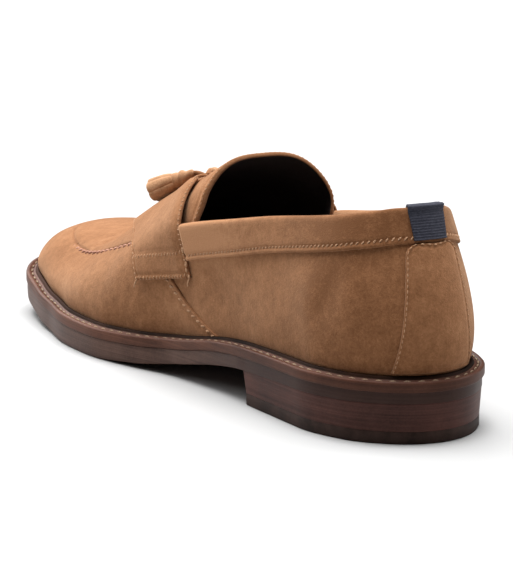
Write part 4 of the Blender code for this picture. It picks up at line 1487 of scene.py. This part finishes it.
def build_knot():
    """A flat knot of cord in a figure of eight, pulled tight over the two tassels' necks."""
    lift = FIT_GAP + KNOT_RADII[2] * KNOT_LIFT
    centre = on_strap(KNOT_ALONG, 0.0, lift)
    forward = unit(on_strap(KNOT_ALONG + KNOT_RADII[0], 0.0, lift) - centre)
    sideways = np.array([0.0, 1.0, 0.0])
    upward = np.cross(forward, sideways)
    turn = np.linspace(0, 2 * np.pi, KNOT_STEPS, endpoint=False)
    reach = (KNOT_RADII[0] - KNOT_CORD) * np.sin(2 * turn)
    width = (KNOT_RADII[1] - KNOT_CORD) * np.sin(turn)
    over = KNOT_CROSSING * np.cos(turn)
    line = centre + np.outer(reach, forward) + np.outer(width, sideways) + np.outer(over, upward)
    line = np.concatenate([line, line[:2]])
    meshes = [tube(line, KNOT_CORD, KNOT_SIDES, upward)]
    wrap = np.linspace(-np.pi / 2, 3 * np.pi / 2, WRAP_STEPS)
    ring = centre + np.outer(WRAP_RADII[0] * np.cos(wrap), sideways)
    ring = ring + np.outer(WRAP_RADII[1] * np.sin(wrap) + WRAP_RISE, upward)
    for shift in WRAP_SHIFTS:
        meshes.append(tube(ring + forward * shift, WRAP_CORD, END_SIDES, forward))
    for side in (1, -1):
        start, end, _, _ = tassel_frame(side)
        neck = start + (end - start) * NECK_PART
        part = np.linspace(0, 1, END_STEPS)[:, None]
        cord = (centre + forward * END_START) * (1 - part) + neck * part
        cord = cord + upward * (END_ARCH * np.sin(np.pi * part))
        meshes.append(tube(cord, END_CORD, END_SIDES, upward))
    add_piece("knot_suede", *joined(meshes), "suede", [SUEDE], "lace_knot")


def build_thread_ends(strap):
    """Loose ends of thread at the strap's lower corners on the outer side, and knots up its rear edge."""
    parts = []
    part = np.linspace(0, 1, THREAD_STEPS)[:, None]
    arch = THREAD_LIFT + THREAD_ARCH * np.sin(np.pi * part * THREAD_ARCH_PART)
    for row, slant in THREAD_ENDS:
        place, normal = np.split(strap[row, THREAD_COLUMN], 2)
        fall = np.array([slant, 0.0, -1.0]) * THREAD_FALL
        parts.append(tube(place + fall * part + normal * arch, THREAD_RADIUS, THREAD_STEPS, normal))
    along = np.linspace(-1, 1, THREAD_KNOT_STEPS)
    for inset, up, length, half in zip(*THREAD_KNOTS.values()):
        line = line_at(strap, 0, inset)
        at = run_lengths(line)[-1] - up + length * along / 2
        normal = unit(read_line(line, at, range(3, 6)))
        bulge = half * np.sqrt(1 - THREAD_KNOT_END * along**2)
        centres = read_line(line, at, range(3)) + normal * THREAD_KNOT_LIFT
        parts.append(tube(centres, bulge, THREAD_KNOT_SIDES, normal[THREAD_KNOT_STEPS // 2]))
    add_piece("thread_ends", *joined(parts), "suede", [SEAM_THREAD])


def build_stitches():
    for kind, name, slot, material in (
        ("seam", "stitches_upper", "suede", SEAM_THREAD),
        ("apron", "stitches_apron", "suede", APRON_THREAD),
        ("welt", "stitches_welt", "welt_edge", WELT_THREAD_PAINTED_SHADE),
    ):
        add_piece(name, *joined(THREADS[kind]), slot, [material])


# Stage


def build_stage():
    mesh = bpy.data.meshes.new("floor")
    half = FLOOR_HALF
    corners = [(-half, -half, 0), (half, -half, 0), (half, half, 0), (-half, half, 0)]
    mesh.from_pydata(corners, [], [(0, 1, 2, 3)])
    floor = bpy.data.objects.new("floor", mesh)
    material, _, _ = new_material("floor_pale", FLOOR_GREY, 0.9, Specular_IOR_Level=0.1)
    mesh.materials.append(material)
    bpy.context.scene.collection.objects.link(floor)


def add_aimed(name, data, towards):
    """An object that looks in a direction."""
    made = bpy.data.objects.new(name, data)
    made.rotation_mode = "QUATERNION"
    made.rotation_quaternion = Vector(towards).to_track_quat("-Z", "Y")
    bpy.context.scene.collection.objects.link(made)
    return made


def build_light():
    """Soft overhead light with weaker light on the toe and on both sides, and a pale surround."""
    for name, (towards, strength, spread) in LIGHTS.items():
        light = bpy.data.lights.new(name, "SUN")
        light.energy = strength
        light.angle = math.radians(spread)
        add_aimed(name, light, towards)
    world = bpy.data.worlds.new("surround")
    world.use_nodes = True
    background = world.node_tree.nodes["Background"]
    background.inputs["Color"].default_value = (1.0, 1.0, 1.0, 1.0)
    background.inputs["Strength"].default_value = SURROUND
    bpy.context.scene.world = world
    bpy.context.scene.view_settings.view_transform = "Standard"


def build_camera():
    data = bpy.data.cameras.new("camera")
    data.lens = CAMERA_LENS
    camera = add_aimed("camera", data, Vector(CAMERA_AIM) - Vector(CAMERA_PLACE))
    camera.location = CAMERA_PLACE
    bpy.context.scene.camera = camera


build_camera()
build_light()
build_stage()
build_upper()
build_quarter_seam()
STRAP = build_strap()
build_tongue()
build_collar_band()
build_counter()
build_heel_tab()
build_welt()
build_outsole()
build_insole()
build_heel()
build_tassel("tassel_lateral_suede", 1, "tassel_lateral")
build_tassel("tassel_medial_suede", -1, "tassel_medial")
build_knot()
build_thread_ends(STRAP)
build_stitches()
